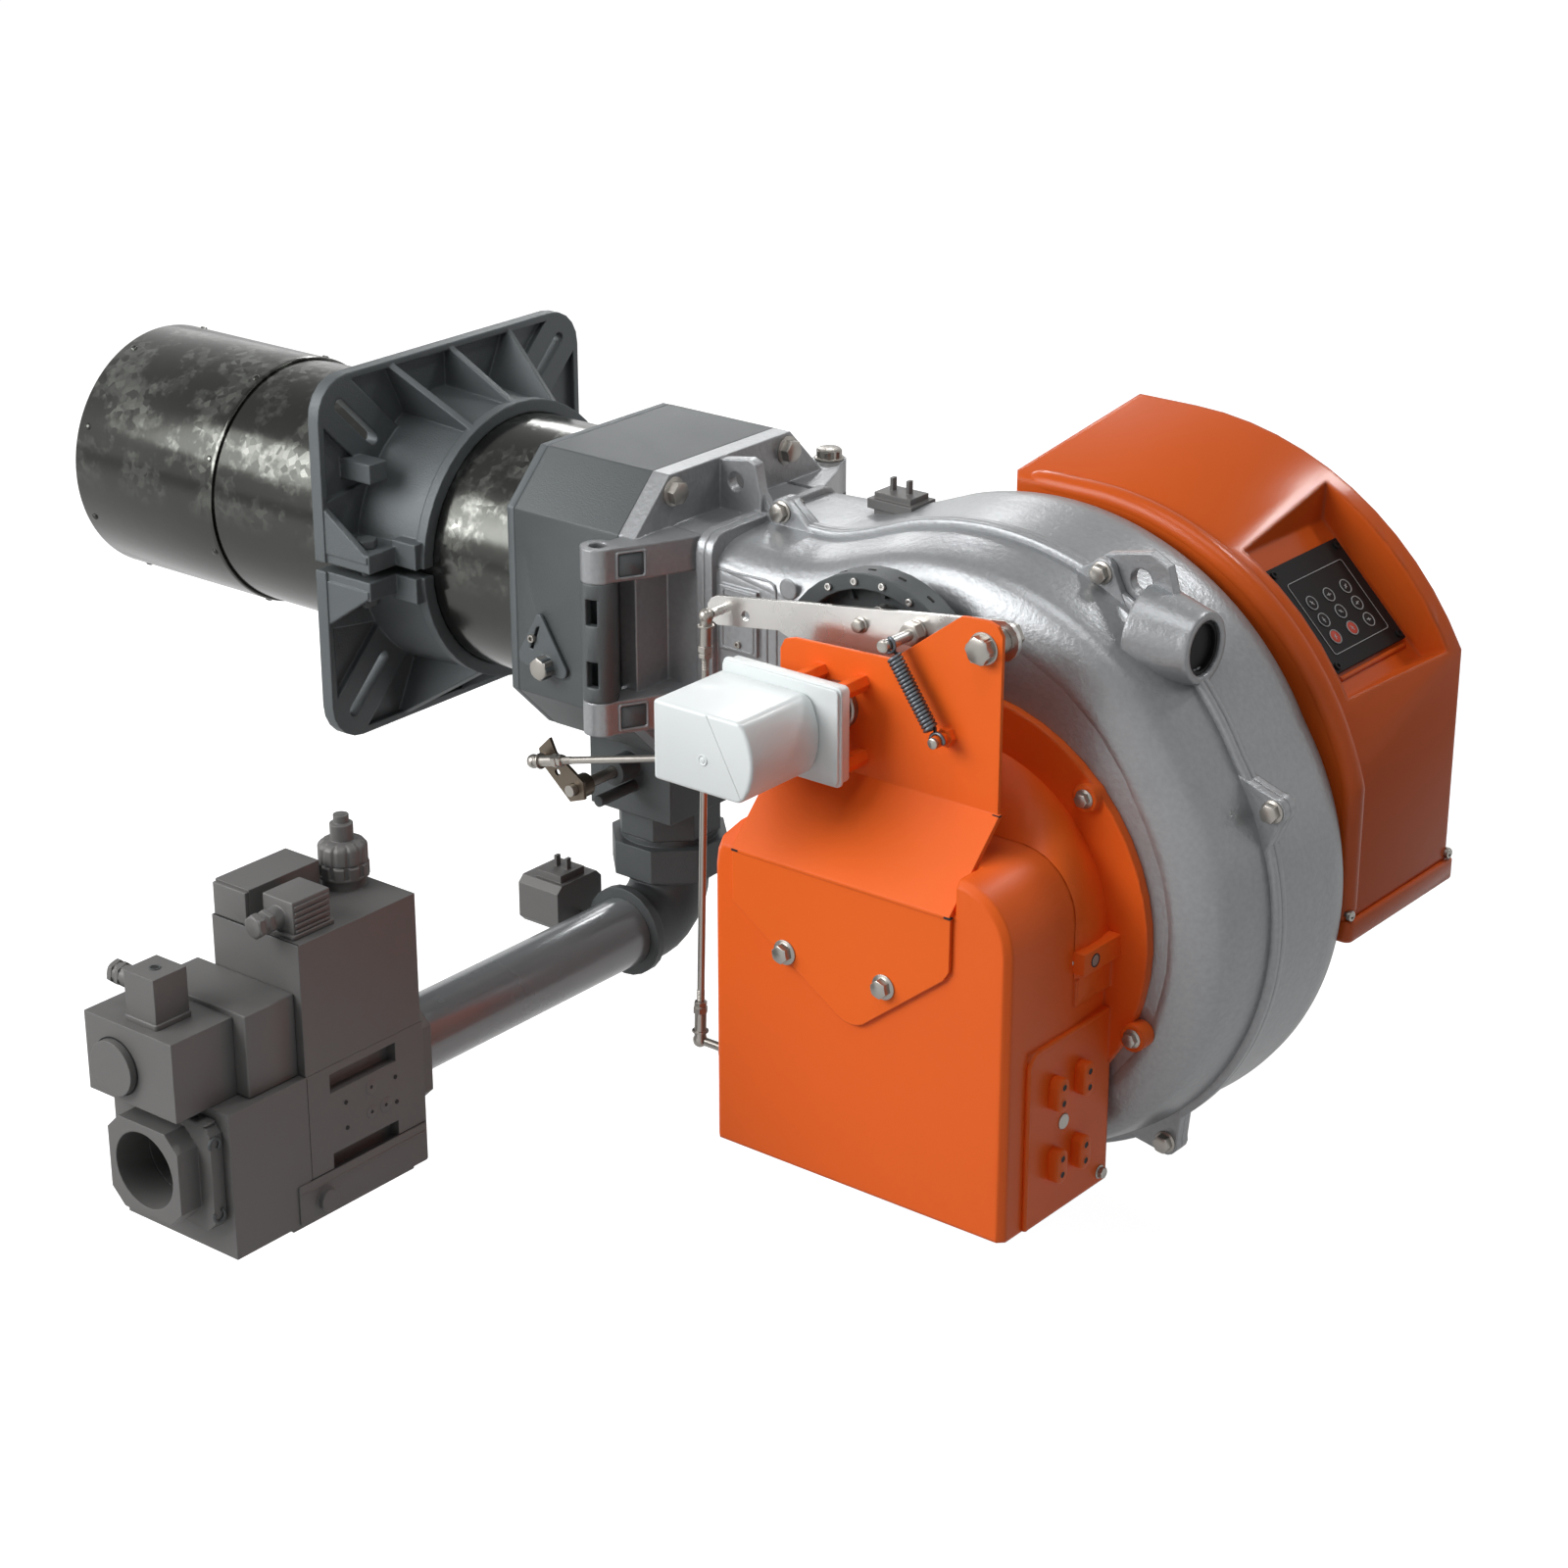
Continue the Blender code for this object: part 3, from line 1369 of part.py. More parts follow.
def scroll_front():
    """The near cover of the scroll, with its intake hole and the ring against the duct."""
    left = DUCT_END + GAP
    face = SEAM_Y - GAP
    outer = [(y, scroll_outline(a, b, left)) for y, a, b in near_profile()] + [
        (face, scroll_outline(0, 0, left))
    ]
    body = stack("scroll_front", "Y", outer)
    ring = prism(
        "cover_ring",
        "X",
        rounded(0, 0, DUCT_HALF_WIDTH + DUCT_RING, DUCT_HALF_HEIGHT + DUCT_RING, 0.017, 3),
        left,
        left + 0.008,
    )
    lip = prism("front_lip", "Y", scroll_outline(-SEAM_LIP, -SEAM_LIP, left), face - SEAM_LIP_WIDTH, face)
    unite(body, ring, lip, spout("front_spout"))
    for i, (x, z, angle) in enumerate(SEAM_LUGS):
        unite(body, seam_lug(f"front_lug_{i}", x, z, angle, face - 0.007, face))
    inner = []
    for y, inset, duct_inset in near_profile(SCROLL_WALL):
        inner.append((y, scroll_outline(inset + SCROLL_WALL, duct_inset + SCROLL_WALL, left - 0.01)))
    inner.append((face + 0.02, scroll_outline(SCROLL_WALL, SCROLL_WALL, left - 0.01)))
    plate = [
        ("cover_plate_high", (0.3760, -0.0900, -0.010), (0.4140, SCROLL_NEAR + 0.001, 0.044)),
    ]
    for name, low, high in plate:
        unite(body, block(name, (low[0], SCROLL_NEAR - 0.003, low[2]), high))
    cut(
        body,
        stack("front_room", "Y", inner),
        cylinder("intake_hole", "Y", FAN_X, FAN_Z, INTAKE_RADIUS, SCROLL_NEAR - 0.02, SCROLL_NEAR + 0.02, 48),
        spout_bore("front_spout_bore"),
        block("rear_side", (0.3, face, -0.6), (1.0, 0.3, 0.3)),
    )
    return finish(body, "cast_light")


def spout_plug():
    end = SPOUT_X - 0.003
    radius = SPOUT_BORE - GAP
    profile = [
        (0, end - 0.014),
        (radius, end - 0.014),
        (radius, end),
        (radius - 0.003, end),
        (radius - 0.003, end - 0.004),
        (0, end - 0.004),
    ]
    return finish(turned("spout_plug", "X", SEAM_Y, SPOUT_Z, profile, 24), "black_plastic")


# Air box and damper


def box_outline(half_width, top, corner, centre_x=BOX_X, bottom=BOX_BOTTOM):
    """An upright arch: straight sides, two round shoulders and a flat or round top."""
    right = arc(centre_x + half_width - corner, top - corner, corner, 0, 90, 6)
    left = arc(centre_x - half_width + corner, top - corner, corner, 90, 180, 6)
    return [(centre_x - half_width, bottom), (centre_x + half_width, bottom)] + right + left


def box_slope(name, lower, right):
    """The wedge that keeps the box's top clear of the bracket's slanting sheet."""
    rise = BRACKET_Y - FOLD_HIGH_Z
    shift = -rise - 0.002 - lower
    outline = [(-0.300, -0.300 + shift), (-0.150, -0.150 + shift), (-0.150, 0.05), (-0.300, 0.05)]
    return prism(name, "X", outline, 0.40, right)


def air_box():
    """The intake box: a ring flange on the scroll, a cone to the rounded box, and the open mouth below."""
    seat = SCROLL_NEAR - GAP
    ring_face = seat - INTAKE_RING_THICKNESS
    ring_top = INTAKE_RING_Z + DOME_RADIUS
    body = stack(
        "air_box",
        "Y",
        [
            (BOX_FRONT, box_outline(BOX_HALF_WIDTH - 0.005, BOX_TOP - 0.005, BOX_CORNER - 0.005)),
            (BOX_FRONT + 0.005, box_outline(BOX_HALF_WIDTH, BOX_TOP, BOX_CORNER)),
            (BOX_BACK, box_outline(BOX_HALF_WIDTH, BOX_TOP, BOX_CORNER)),
            (ring_face + 0.002, box_outline(DOME_RADIUS, ring_top, DOME_RADIUS, FAN_X)),
        ],
    )
    cut(body, box_slope("bracket_seat", 0.0, 0.7085))
    ring = cylinder("intake_ring", "Y", FAN_X, INTAKE_RING_Z, INTAKE_RING_RADIUS, ring_face, seat, 48)
    unite(
        body,
        ring,
        block(
            "box_back",
            (FAN_X - DOME_RADIUS, ring_face, BOX_BOTTOM),
            (FAN_X + DOME_RADIUS, ring_face + 0.0035, INTAKE_RING_Z),
        ),
    )
    for i, (x, z) in enumerate(((0.113, 0.113), (-0.113, 0.113), (0.163, -0.068), (-0.163, -0.068))):
        boss = cylinder(
            f"ring_boss_{i}", "Y", FAN_X + x, INTAKE_RING_Z + z, 0.011, ring_face - 0.006, seat, 16
        )
        unite(body, boss)
    unite(
        body,
        block("ring_block", (0.726, BOX_BACK, -0.190), (0.758, ring_face + 0.001, -0.168)),
        block(
            "side_panel",
            (BOX_X + BOX_HALF_WIDTH - 0.004, -0.192, BOX_BOTTOM),
            (BOX_X + BOX_HALF_WIDTH + 0.0025, ring_face + 0.003, -0.207),
        ),
    )
    w = BOX_WALL
    front = BOX_FRONT + w
    low = BOX_BOTTOM - 0.01
    rim = BOX_HALF_WIDTH - w
    room = stack(
        "box_room",
        "Y",
        [
            (front, box_outline(rim - 0.004, BOX_TOP - w - 0.004, BOX_CORNER - 0.008, bottom=low)),
            (front + 0.005, box_outline(rim, BOX_TOP - w, BOX_CORNER - w, bottom=low)),
            (BOX_BACK, box_outline(rim, BOX_TOP - w, BOX_CORNER - w, bottom=low)),
            (ring_face, box_outline(DOME_RADIUS - w, ring_top - w, DOME_RADIUS - w, FAN_X, low)),
        ],
    )
    cut(room, box_slope("room_slope", w * math.sqrt(2), 0.7085 + w))
    cut(
        body,
        room,
        cylinder("ring_hole", "Y", FAN_X, FAN_Z, INTAKE_RADIUS + 0.004, ring_face - 0.01, seat + 0.01, 48),
        cylinder(
            "damper_hole",
            "X",
            DAMPER_Y,
            DAMPER_Z,
            DAMPER_SHAFT + GAP,
            BOX_X - BOX_HALF_WIDTH - 0.01,
            BOX_X - BOX_HALF_WIDTH + 0.02,
            16,
        ),
    )
    shelf_front = DAMPER_Y + DAMPER_HALF_CHORD + 0.001
    unite(
        body,
        block(
            "damper_shelf",
            (FAN_X - DOME_RADIUS + 0.002, shelf_front, DAMPER_Z - 0.002),
            (FAN_X + DOME_RADIUS - 0.002, ring_face + 0.002, DAMPER_Z + 0.002),
        ),
    )
    return finish(body, "orange")


def damper(empty):
    """The damper's shaft with its crank, and the flat blade."""
    left = BOX_X - BOX_HALF_WIDTH
    right = BOX_X + BOX_HALF_WIDTH - BOX_WALL - GAP
    stub = AIR_ROD_X + SOCKET_RADIUS + GAP
    crank_x = left - 0.024
    ball_y = DAMPER_Y - DAMPER_CRANK
    ball_z = DAMPER_Z - DAMPER_CRANK
    shaft = cylinder("damper_shaft", "X", DAMPER_Y, DAMPER_Z, DAMPER_SHAFT, crank_x - 0.004, right, 16)
    unite(
        shaft,
        cylinder("damper_hub", "X", DAMPER_Y, DAMPER_Z, 0.011, crank_x, crank_x + 0.010, 16),
        cylinder("damper_crank_end", "X", ball_y, ball_z, 0.008, crank_x, crank_x + 0.004, 16),
        cylinder("damper_crank_pin", "X", ball_y, ball_z, 0.0035, stub, crank_x + 0.003, 12),
    )
    finish(shaft, "zinc", empty)
    near = DAMPER_Y - DAMPER_HALF_CHORD
    far = DAMPER_Y + DAMPER_HALF_CHORD
    low = DAMPER_Z + DAMPER_SHAFT + GAP
    blade = block(
        "damper_blade", (left + BOX_WALL + 0.003, near, low), (right - 0.003, far, low + DAMPER_BLADE)
    )
    return shaft, finish(blade, "zinc", empty)


# Servo, bracket and linkage


def servo_bracket():
    """The folded bracket plate with its four stand-offs and the fixed spring post."""
    front = BRACKET_Y - BRACKET_SHEET
    drop = FOLD_HIGH_Z - FOLD_LOW_Z
    upper = [
        (0.502, FOLD_HIGH_Z),
        (0.704, FOLD_HIGH_Z),
        (0.7045, 0.096),
        (0.700, 0.103),
        (0.692, 0.1055),
        (0.672, 0.1045),
        (0.668, 0.104),
        (0.6100, 0.060),
        (0.6045, 0.057),
        (0.515, 0.053),
        (0.506, 0.050),
        (0.502, 0.042),
    ]
    body = prism("servo_bracket", "Y", upper, front, BRACKET_Y)
    slope = [
        (front, FOLD_HIGH_Z + 0.0012),
        (BRACKET_Y, FOLD_HIGH_Z + 0.0012),
        (BRACKET_Y, FOLD_HIGH_Z - 0.0012),
        (BRACKET_Y - drop, FOLD_LOW_Z - 0.0012),
        (front - drop, FOLD_LOW_Z - 0.0012),
        (front - drop, FOLD_LOW_Z + 0.0012),
    ]
    tongue = [
        (0.503, FOLD_LOW_Z),
        (0.706, FOLD_LOW_Z),
        (0.7055, -0.145),
        (0.700, -0.1535),
    ] + arc(0.616, -0.190, 0.024, -62, -128, 6) + [(0.503, -0.1444)]
    tongue_front = BOX_FRONT - GAP - BRACKET_SHEET
    unite(
        body,
        prism("bracket_slope", "X", slope, 0.5025, 0.7055),
        prism("bracket_tongue", "Y", tongue, tongue_front, BOX_FRONT - GAP),
    )
    for i, (x, z) in enumerate(((0.541, 0.033), (0.580, 0.033), (0.580, -0.026), (0.541, -0.026))):
        unite(body, hexagon(f"standoff_{i}", "Y", x, z, STANDOFF_WIDTH, SERVO_BACK + GAP, front + 0.001))
    unite(
        body,
        cylinder(
            "spring_post_fixed",
            "Y",
            SPRING_END_X,
            SPRING_END_Z,
            POST_RADIUS,
            SPRING_Y - 0.004,
            front + 0.001,
            12,
        ),
        hexagon("spring_post_nut", "Y", SPRING_END_X, SPRING_END_Z, 0.013, front - 0.006, front + 0.001),
    )
    cut(
        body,
        cylinder("servo_shaft_hole", "Y", SERVO_X, SERVO_Z, SHAFT_HOLE, front - 0.01, BRACKET_Y + 0.01, 24),
        cylinder(
            "pivot_hole", "Y", LEVER_PIVOT_X, LEVER_PIVOT_Z, 0.006 + GAP, front - 0.01, BRACKET_Y + 0.01, 16
        ),
    )
    return finish(body, "orange")


def lever_pivot_bolt():
    """The bolt that carries the air lever behind the bracket."""
    front = BRACKET_Y - BRACKET_SHEET - GAP
    bolt = cylinder("lever_pivot_bolt", "Y", LEVER_PIVOT_X, LEVER_PIVOT_Z, 0.006, front - 0.002, -0.124, 16)
    unite(
        bolt,
        hexagon("pivot_head", "Y", LEVER_PIVOT_X, LEVER_PIVOT_Z, 0.019, front - 0.008, front),
        cylinder(
            "pivot_spacer", "Y", LEVER_PIVOT_X, LEVER_PIVOT_Z, 0.010, BRACKET_Y + GAP, LEVER_Y - GAP, 16
        ),
        hexagon("pivot_nut", "Y", LEVER_PIVOT_X, LEVER_PIVOT_Z, 0.019, LEVER_Y + LEVER_SHEET + GAP, -0.127),
    )
    return finish(bolt, "zinc")


def servo_motor():
    """The servo's gear base and its round-sided cover."""
    base = prism(
        "servo_base",
        "Y",
        rounded(0.5345, 0.002, 0.0545, 0.038, 0.004, 2),
        SERVO_BACK - SERVO_BASE,
        SERVO_BACK,
    )
    cut(
        base,
        cylinder(
            "servo_socket",
            "Y",
            SERVO_X,
            SERVO_Z,
            SERVO_SHAFT + GAP,
            SERVO_BACK - 0.008,
            SERVO_BACK + 0.01,
            16,
        ),
    )
    finish(base, "servo_white")
    outline = [(0.480, -0.0305), (0.560, -0.0305)] + arc(0.522, 0.001, 0.0515, -32, 32, 6) + [
        (0.560, 0.0325), (0.480, 0.0325)
    ]
    cover = prism("servo_cover", "Y", outline, SERVO_FRONT, SERVO_BACK - SERVO_BASE - GAP)
    return base, finish(cover, "servo_white")


def cam_track():
    """The cam's climbing contour: it stays just clear of the roller all through the servo's sweep."""
    pivot_at = Vector((LEVER_PIVOT_X, LEVER_PIVOT_Z))
    centre = Vector((CAM_X, SERVO_Z))
    arm = Vector((ROLLER_X, ROLLER_Z)) - pivot_at
    points = []
    for i in range(9):
        lift = Matrix.Rotation(-math.radians(LEVER_SWEEP * i / 8), 2)
        back = Matrix.Rotation(-math.radians(SERVO_SWEEP * i / 8), 2)
        roller = back @ (pivot_at + lift @ arm - centre)
        points.append(tuple(centre + roller * (1 - (ROLLER_RADIUS + 0.0007) / roller.length)))
    low = 0.024
    angle = math.degrees(math.atan2(points[-1][1] - SERVO_Z, points[-1][0] - CAM_X))
    points.append(polar(CAM_X, SERVO_Z, low, angle - 15))
    points.append(polar(CAM_X, SERVO_Z, low, angle + SERVO_SWEEP + 60))
    points.append(polar(CAM_X, SERVO_Z, low * 1.8, angle + SERVO_SWEEP + 30))
    return points


def servo_shaft(empty):
    """The servo's shaft with the adjustable cam and the gas crank."""
    shaft = cylinder(
        "servo_shaft", "Y", SERVO_X, SERVO_Z, SERVO_SHAFT, SERVO_BACK - 0.007, CAM_FACE + 0.003, 16
    )
    finish(shaft, "zinc", empty)
    back = CAM_FACE + CAM_THICKNESS
    z = SERVO_Z
    rim = arc(CAM_X, z, CAM_RADIUS, CAM_FIRST, CAM_LAST, 14) + arc(
        CAM_X, z, CAM_RADIUS - CAM_RIM, CAM_LAST, CAM_FIRST, 14
    )
    cam = prism("cam_disc", "Y", rim, CAM_FACE, back)
    web = arc(CAM_X, z, CAM_RADIUS - 0.004, CAM_FIRST, CAM_LAST, 14) + [
        (CAM_X - 0.008, z - 0.004), (CAM_X + 0.008, z - 0.004)
    ]
    unite(
        cam,
        prism("cam_web", "Y", web, back - CAM_WEB, back),
        cylinder("cam_hub", "Y", CAM_X, z, 0.016, CAM_FACE, back, 24),
    )
    for i in range(5):
        angle = 40 + 25 * i
        rib = prism(
            f"cam_rib_{i}",
            "Y",
            [
                polar(CAM_X, z, 0.068, angle - 1.6),
                polar(CAM_X, z, CAM_RADIUS - 0.008, angle - 1.3),
                polar(CAM_X, z, CAM_RADIUS - 0.008, angle + 1.3),
                polar(CAM_X, z, 0.068, angle + 1.6),
            ],
            CAM_FACE + 0.012,
            back - 0.001,
        )
        unite(cam, rib)
    unite(cam, prism("cam_contour", "Y", cam_track(), CAM_FACE, back - 0.001))
    cut(
        cam,
        cylinder(
            "cam_bore", "Y", SERVO_X, SERVO_Z, SERVO_SHAFT + GAP, CAM_FACE - 0.01, CAM_FACE + 0.004, 16
        ),
    )
    finish(cam, "cast_dark", empty)
    pin_x, pin_z = polar(SERVO_X, SERVO_Z, CRANK_LENGTH, CRANK_ANGLE)
    side = Vector((SERVO_Z - pin_z, pin_x - SERVO_X)).normalized() * 0.007
    outline = [
        (SERVO_X + side.x, SERVO_Z + side.y),
        (SERVO_X - side.x, SERVO_Z - side.y),
        (pin_x - side.x, pin_z - side.y),
        (pin_x + side.x, pin_z + side.y),
    ]
    crank = prism("gas_crank", "Y", outline, CRANK_Y, CRANK_Y + CRANK_SHEET)
    unite(
        crank,
        cylinder("crank_hub", "Y", SERVO_X, SERVO_Z, 0.012, CRANK_Y, CRANK_Y + 0.0075, 16),
        cylinder("crank_end", "Y", pin_x, pin_z, 0.0075, CRANK_Y, CRANK_Y + CRANK_SHEET, 16),
        cylinder("crank_pin", "Y", pin_x, pin_z, 0.0025, CRANK_Y + 0.001, GAS_ROD_Y - SOCKET_RADIUS - GAP, 8),
    )
    cut(
        crank,
        cylinder(
            "crank_bore", "Y", SERVO_X, SERVO_Z, SERVO_SHAFT + GAP, CRANK_Y - 0.01, CRANK_Y + 0.02, 16
        ),
    )
    finish(crank, "zinc", empty)
    return shaft, cam, crank


def air_lever(empty):
    """The bright lever that the cam lifts, with its roller, its spring post and the air rod's ball stud."""
    back = LEVER_Y + LEVER_SHEET
    outline = (
        arc(AIR_BALL_X - 0.002, 0.0485, 0.012, 100, 260, 5)
        + [(0.4830, 0.0456), (0.5000, 0.0400), (0.5600, 0.0365), (0.6400, 0.0500)]
        + arc(LEVER_PIVOT_X, LEVER_PIVOT_Z, 0.016, -60, 80, 6)
    )
    lever = prism("air_lever", "Y", outline, LEVER_Y, back)
    unite(
        lever,
        cylinder("roller_pin", "Y", ROLLER_X, ROLLER_Z, 0.004, LEVER_Y - 0.004, CAM_FACE + 0.009, 12),
        cylinder("roller", "Y", ROLLER_X, ROLLER_Z, ROLLER_RADIUS, CAM_FACE + 0.0005, CAM_FACE + 0.010, 24),
        cylinder(
            "spring_post",
            "Y",
            SPRING_POST_X,
            SPRING_POST_Z,
            POST_RADIUS,
            SPRING_Y - 0.004,
            back - 0.001,
            12,
        ),
        hexagon(
            "spring_post_lever_nut",
            "Y",
            SPRING_POST_X,
            SPRING_POST_Z,
            0.016,
            LEVER_Y - 0.008,
            LEVER_Y + 0.001,
        ),
        cylinder(
            "air_ball_stud",
            "Y",
            AIR_BALL_X,
            AIR_BALL_Z,
            0.0035,
            AIR_BALL_Y + SOCKET_RADIUS + GAP,
            back - 0.001,
            12,
        ),
    )
    cut(
        lever,
        cylinder(
            "lever_bore", "Y", LEVER_PIVOT_X, LEVER_PIVOT_Z, 0.006 + GAP, LEVER_Y - 0.01, back + 0.01, 16
        ),
        cylinder("lever_hole", "Y", 0.451, 0.050, 0.004, LEVER_Y - 0.01, back + 0.01, 12),
    )
    return finish(lever, "bright_steel", empty)


def socket_rod(name, start, end, empty):
    """A linkage rod with a ball socket and a lock nut at each end."""
    start, end = Vector(start), Vector(end)
    along = (end - start).normalized()
    rod = bar(name, start, end, ROD_RADIUS, 10)
    for tag, point, way in (("start", start, along), ("end", end, -along)):
        unite(
            rod,
            ball(f"{name}_{tag}_ball", point, SOCKET_RADIUS),
            bar(f"{name}_{tag}_sleeve", point + way * 0.003, point + way * 0.030, 0.0048, 12),
        )
    return finish(rod, "zinc", empty)


def lever_spring():
    """The return spring between the lever's post and the bracket's post, as one plain bar."""
    start = Vector((SPRING_POST_X, SPRING_Y, SPRING_POST_Z))
    end = Vector((SPRING_END_X, SPRING_Y, SPRING_END_Z))
    along = (end - start).normalized()
    reach = POST_RADIUS + GAP
    return finish(
        bar("lever_spring", start + along * reach, end - along * reach, SPRING_RADIUS, 12), "spring_dark"
    )


# Fan, motor and hood


def fan_wheel(empty):
    """The forward-curved fan wheel: back plate, blades, front ring and hub."""
    inner = FAN_RADIUS - 0.026
    wheel = cylinder("fan_wheel", "Y", FAN_X, FAN_Z, FAN_RADIUS, FAN_FAR - 0.003, FAN_FAR, 40)
    ring = [
        (inner, FAN_NEAR), (FAN_RADIUS, FAN_NEAR), (FAN_RADIUS, FAN_NEAR + 0.003), (inner, FAN_NEAR + 0.003)
    ]
    unite(
        wheel,
        turned("wheel_ring", "Y", FAN_X, FAN_Z, ring, 40),
        cylinder("wheel_hub", "Y", FAN_X, FAN_Z, FAN_HUB, 0.0, FAN_FAR - 0.001, 24),
    )
    outlines = []
    for i in range(FAN_BLADES):
        angle = 360 * i / FAN_BLADES + 2.0
        outlines.append(
            [
                polar(FAN_X, FAN_Z, inner + 0.003, angle),
                polar(FAN_X, FAN_Z, inner + 0.013, angle + 3),
                polar(FAN_X, FAN_Z, FAN_RADIUS - 0.002, angle + 8),
                polar(FAN_X, FAN_Z, FAN_RADIUS - 0.002, angle + 9),
                polar(FAN_X, FAN_Z, inner + 0.013, angle + 4),
                polar(FAN_X, FAN_Z, inner + 0.003, angle + 1),
            ]
        )
    unite(wheel, prisms("wheel_blades", "Y", outlines, FAN_NEAR + 0.0015, FAN_FAR - 0.0015))
    cut(wheel, cylinder("wheel_bore", "Y", FAN_X, FAN_Z, MOTOR_SHAFT + GAP, -0.01, FAN_FAR + 0.01, 24))
    return finish(wheel, "zinc", empty)


def motor_shaft(empty):
    back = SCROLL_FAR + GAP + MOTOR_FLANGE + MOTOR_LENGTH * 0.6
    return finish(
        cylinder("motor_shaft", "Y", FAN_X, FAN_Z, MOTOR_SHAFT, 0.002, back - 0.003, 24),
        "bright_steel",
        empty,
    )


def motor():
    """The motor: its flange on the scroll, the finned body with the shaft's bore, and the end cover."""
    seat = SCROLL_FAR + GAP
    back = seat + MOTOR_FLANGE + MOTOR_LENGTH
    profile = [
        (0, seat),
        (MOTOR_FLANGE_RADIUS, seat),
        (MOTOR_FLANGE_RADIUS, seat + MOTOR_FLANGE),
        (MOTOR_RADIUS, seat + MOTOR_FLANGE),
        (MOTOR_RADIUS, back),
        (0, back),
    ]
    body = turned("motor_body", "Y", FAN_X, FAN_Z, profile, 40)
    cut(
        body,
        cylinder(
            "motor_bore",
            "Y",
            FAN_X,
            FAN_Z,
            MOTOR_SHAFT + GAP,
            seat - 0.01,
            seat + MOTOR_FLANGE + MOTOR_LENGTH * 0.6,
            24,
        ),
    )
    finish(body, "cast_dark")
    start = back + GAP
    cap_profile = [
        (0, start),
        (MOTOR_RADIUS + 0.002, start),
        (MOTOR_RADIUS + 0.002, start + MOTOR_CAP * 0.6),
        (MOTOR_RADIUS - 0.010, start + MOTOR_CAP),
        (0, start + MOTOR_CAP),
    ]
    return body, finish(turned("motor_end_cover", "Y", FAN_X, FAN_Z, cap_profile, 40), "black_plastic")


def hood_outline(radius, left, inset=0.0, steps=12):
    """The hood seen from the fan side: flat to the left, one arc over the top and an upright right wall."""
    reach = radius - inset
    right = HOOD_RIGHT - inset
    centre_x = HOOD_ARC_X
    centre_z = HOOD_TOP - HOOD_NEAR_RADIUS + (radius - HOOD_NEAR_RADIUS) * 0.24
    last = math.degrees(math.acos((right - centre_x) / reach))
    over = arc(centre_x, centre_z, reach, 90, last, steps)
    bottom = HOOD_BOTTOM
    return [(left + inset, bottom), (left + inset, centre_z + reach)] + over + [(right, bottom)]


def control_hood():
    """The control cover: a lofted shell with a sunk slanting field for the panel."""
    hood = stack(
        "control_hood",
        "Y",
        [
            (HOOD_NEAR, hood_outline(HOOD_NEAR_RADIUS, HOOD_LEFT, 0.004)),
            (HOOD_NEAR + 0.006, hood_outline(HOOD_NEAR_RADIUS, HOOD_LEFT)),
            (HOOD_FAR - 0.006, hood_outline(HOOD_FAR_RADIUS, HOOD_LEFT + 0.015)),
            (HOOD_FAR, hood_outline(HOOD_FAR_RADIUS, HOOD_LEFT + 0.015, 0.005)),
        ],
    )
    limit = PANEL_SUM - 0.008
    wall = HOOD_LEFT + 0.020
    top = HOOD_TOP - HOOD_WALL - 0.004
    room = [
        (wall, HOOD_BOTTOM - 0.01),
        (wall, top),
        (0.640, top),
        (limit - 0.094, 0.094),
        (limit + 0.010, -0.010),
        (HOOD_RIGHT - 0.012, -0.080),
        (HOOD_RIGHT - 0.012, HOOD_BOTTOM - 0.01),
    ]
    cut(
        hood,
        prism("hood_room", "Y", room, HOOD_NEAR + HOOD_WALL, HOOD_FAR - HOOD_WALL),
        cylinder(
            "hood_motor_hole",
            "Y",
            FAN_X,
            FAN_Z,
            MOTOR_FLANGE_RADIUS - 0.006,
            HOOD_NEAR - 0.01,
            HOOD_NEAR + HOOD_WALL + 0.001,
            40,
        ),
    )
    middle_z = PANEL_SUM - PANEL_MIDDLE_X
    reach = RECESS_HALF / math.sqrt(2)
    recess = [
        (PANEL_MIDDLE_X - reach, middle_z + reach),
        (PANEL_MIDDLE_X + reach, middle_z - reach),
        (PANEL_MIDDLE_X + reach + 0.040, middle_z - reach + 0.018),
        (PANEL_MIDDLE_X + reach + 0.090, middle_z + 0.060),
        (PANEL_MIDDLE_X, middle_z + 0.150),
        (PANEL_MIDDLE_X - reach + 0.002, middle_z + reach + 0.040),
    ]
    cut(hood, prism("panel_recess", "Y", recess, RECESS_NEAR, RECESS_FAR))
    return finish(hood, "orange_gloss")


def control_base():
    """The tray under the hood."""
    tray = prism(
        "control_base",
        "Z",
        rounded(
            (HOOD_LEFT + HOOD_RIGHT) / 2 + 0.002,
            (HOOD_NEAR + HOOD_FAR) / 2 + 0.0015,
            (HOOD_RIGHT - HOOD_LEFT) / 2 + 0.002,
            0.083,
            0.006,
            3,
        ),
        HOOD_BOTTOM - GAP - BASE_THICKNESS,
        HOOD_BOTTOM - GAP,
    )
    cut(
        tray,
        cylinder(
            "tray_motor_room", "Y", FAN_X, FAN_Z, MOTOR_FLANGE_RADIUS + 0.004, 0.08, HOOD_FAR - 0.02, 40
        ),
    )
    return finish(tray, "orange_gloss")


def control_panel():
    """The flat operating panel on the slanting field."""
    middle_z = PANEL_SUM - PANEL_MIDDLE_X
    panel = prism(
        "control_panel",
        "Y",
        rounded(0, 0, PANEL_HALF, PANEL_THICKNESS / 2, 0.0006, 1),
        PANEL_NEAR,
        PANEL_FAR,
    )
    panel.data.transform(Matrix.Rotation(math.radians(45), 4, "Y"))
    lift = (PANEL_THICKNESS / 2 + GAP) / math.sqrt(2)
    panel.data.transform(Matrix.Translation((PANEL_MIDDLE_X + lift, 0, middle_z + lift)))
    return finish(panel, "black_plastic")


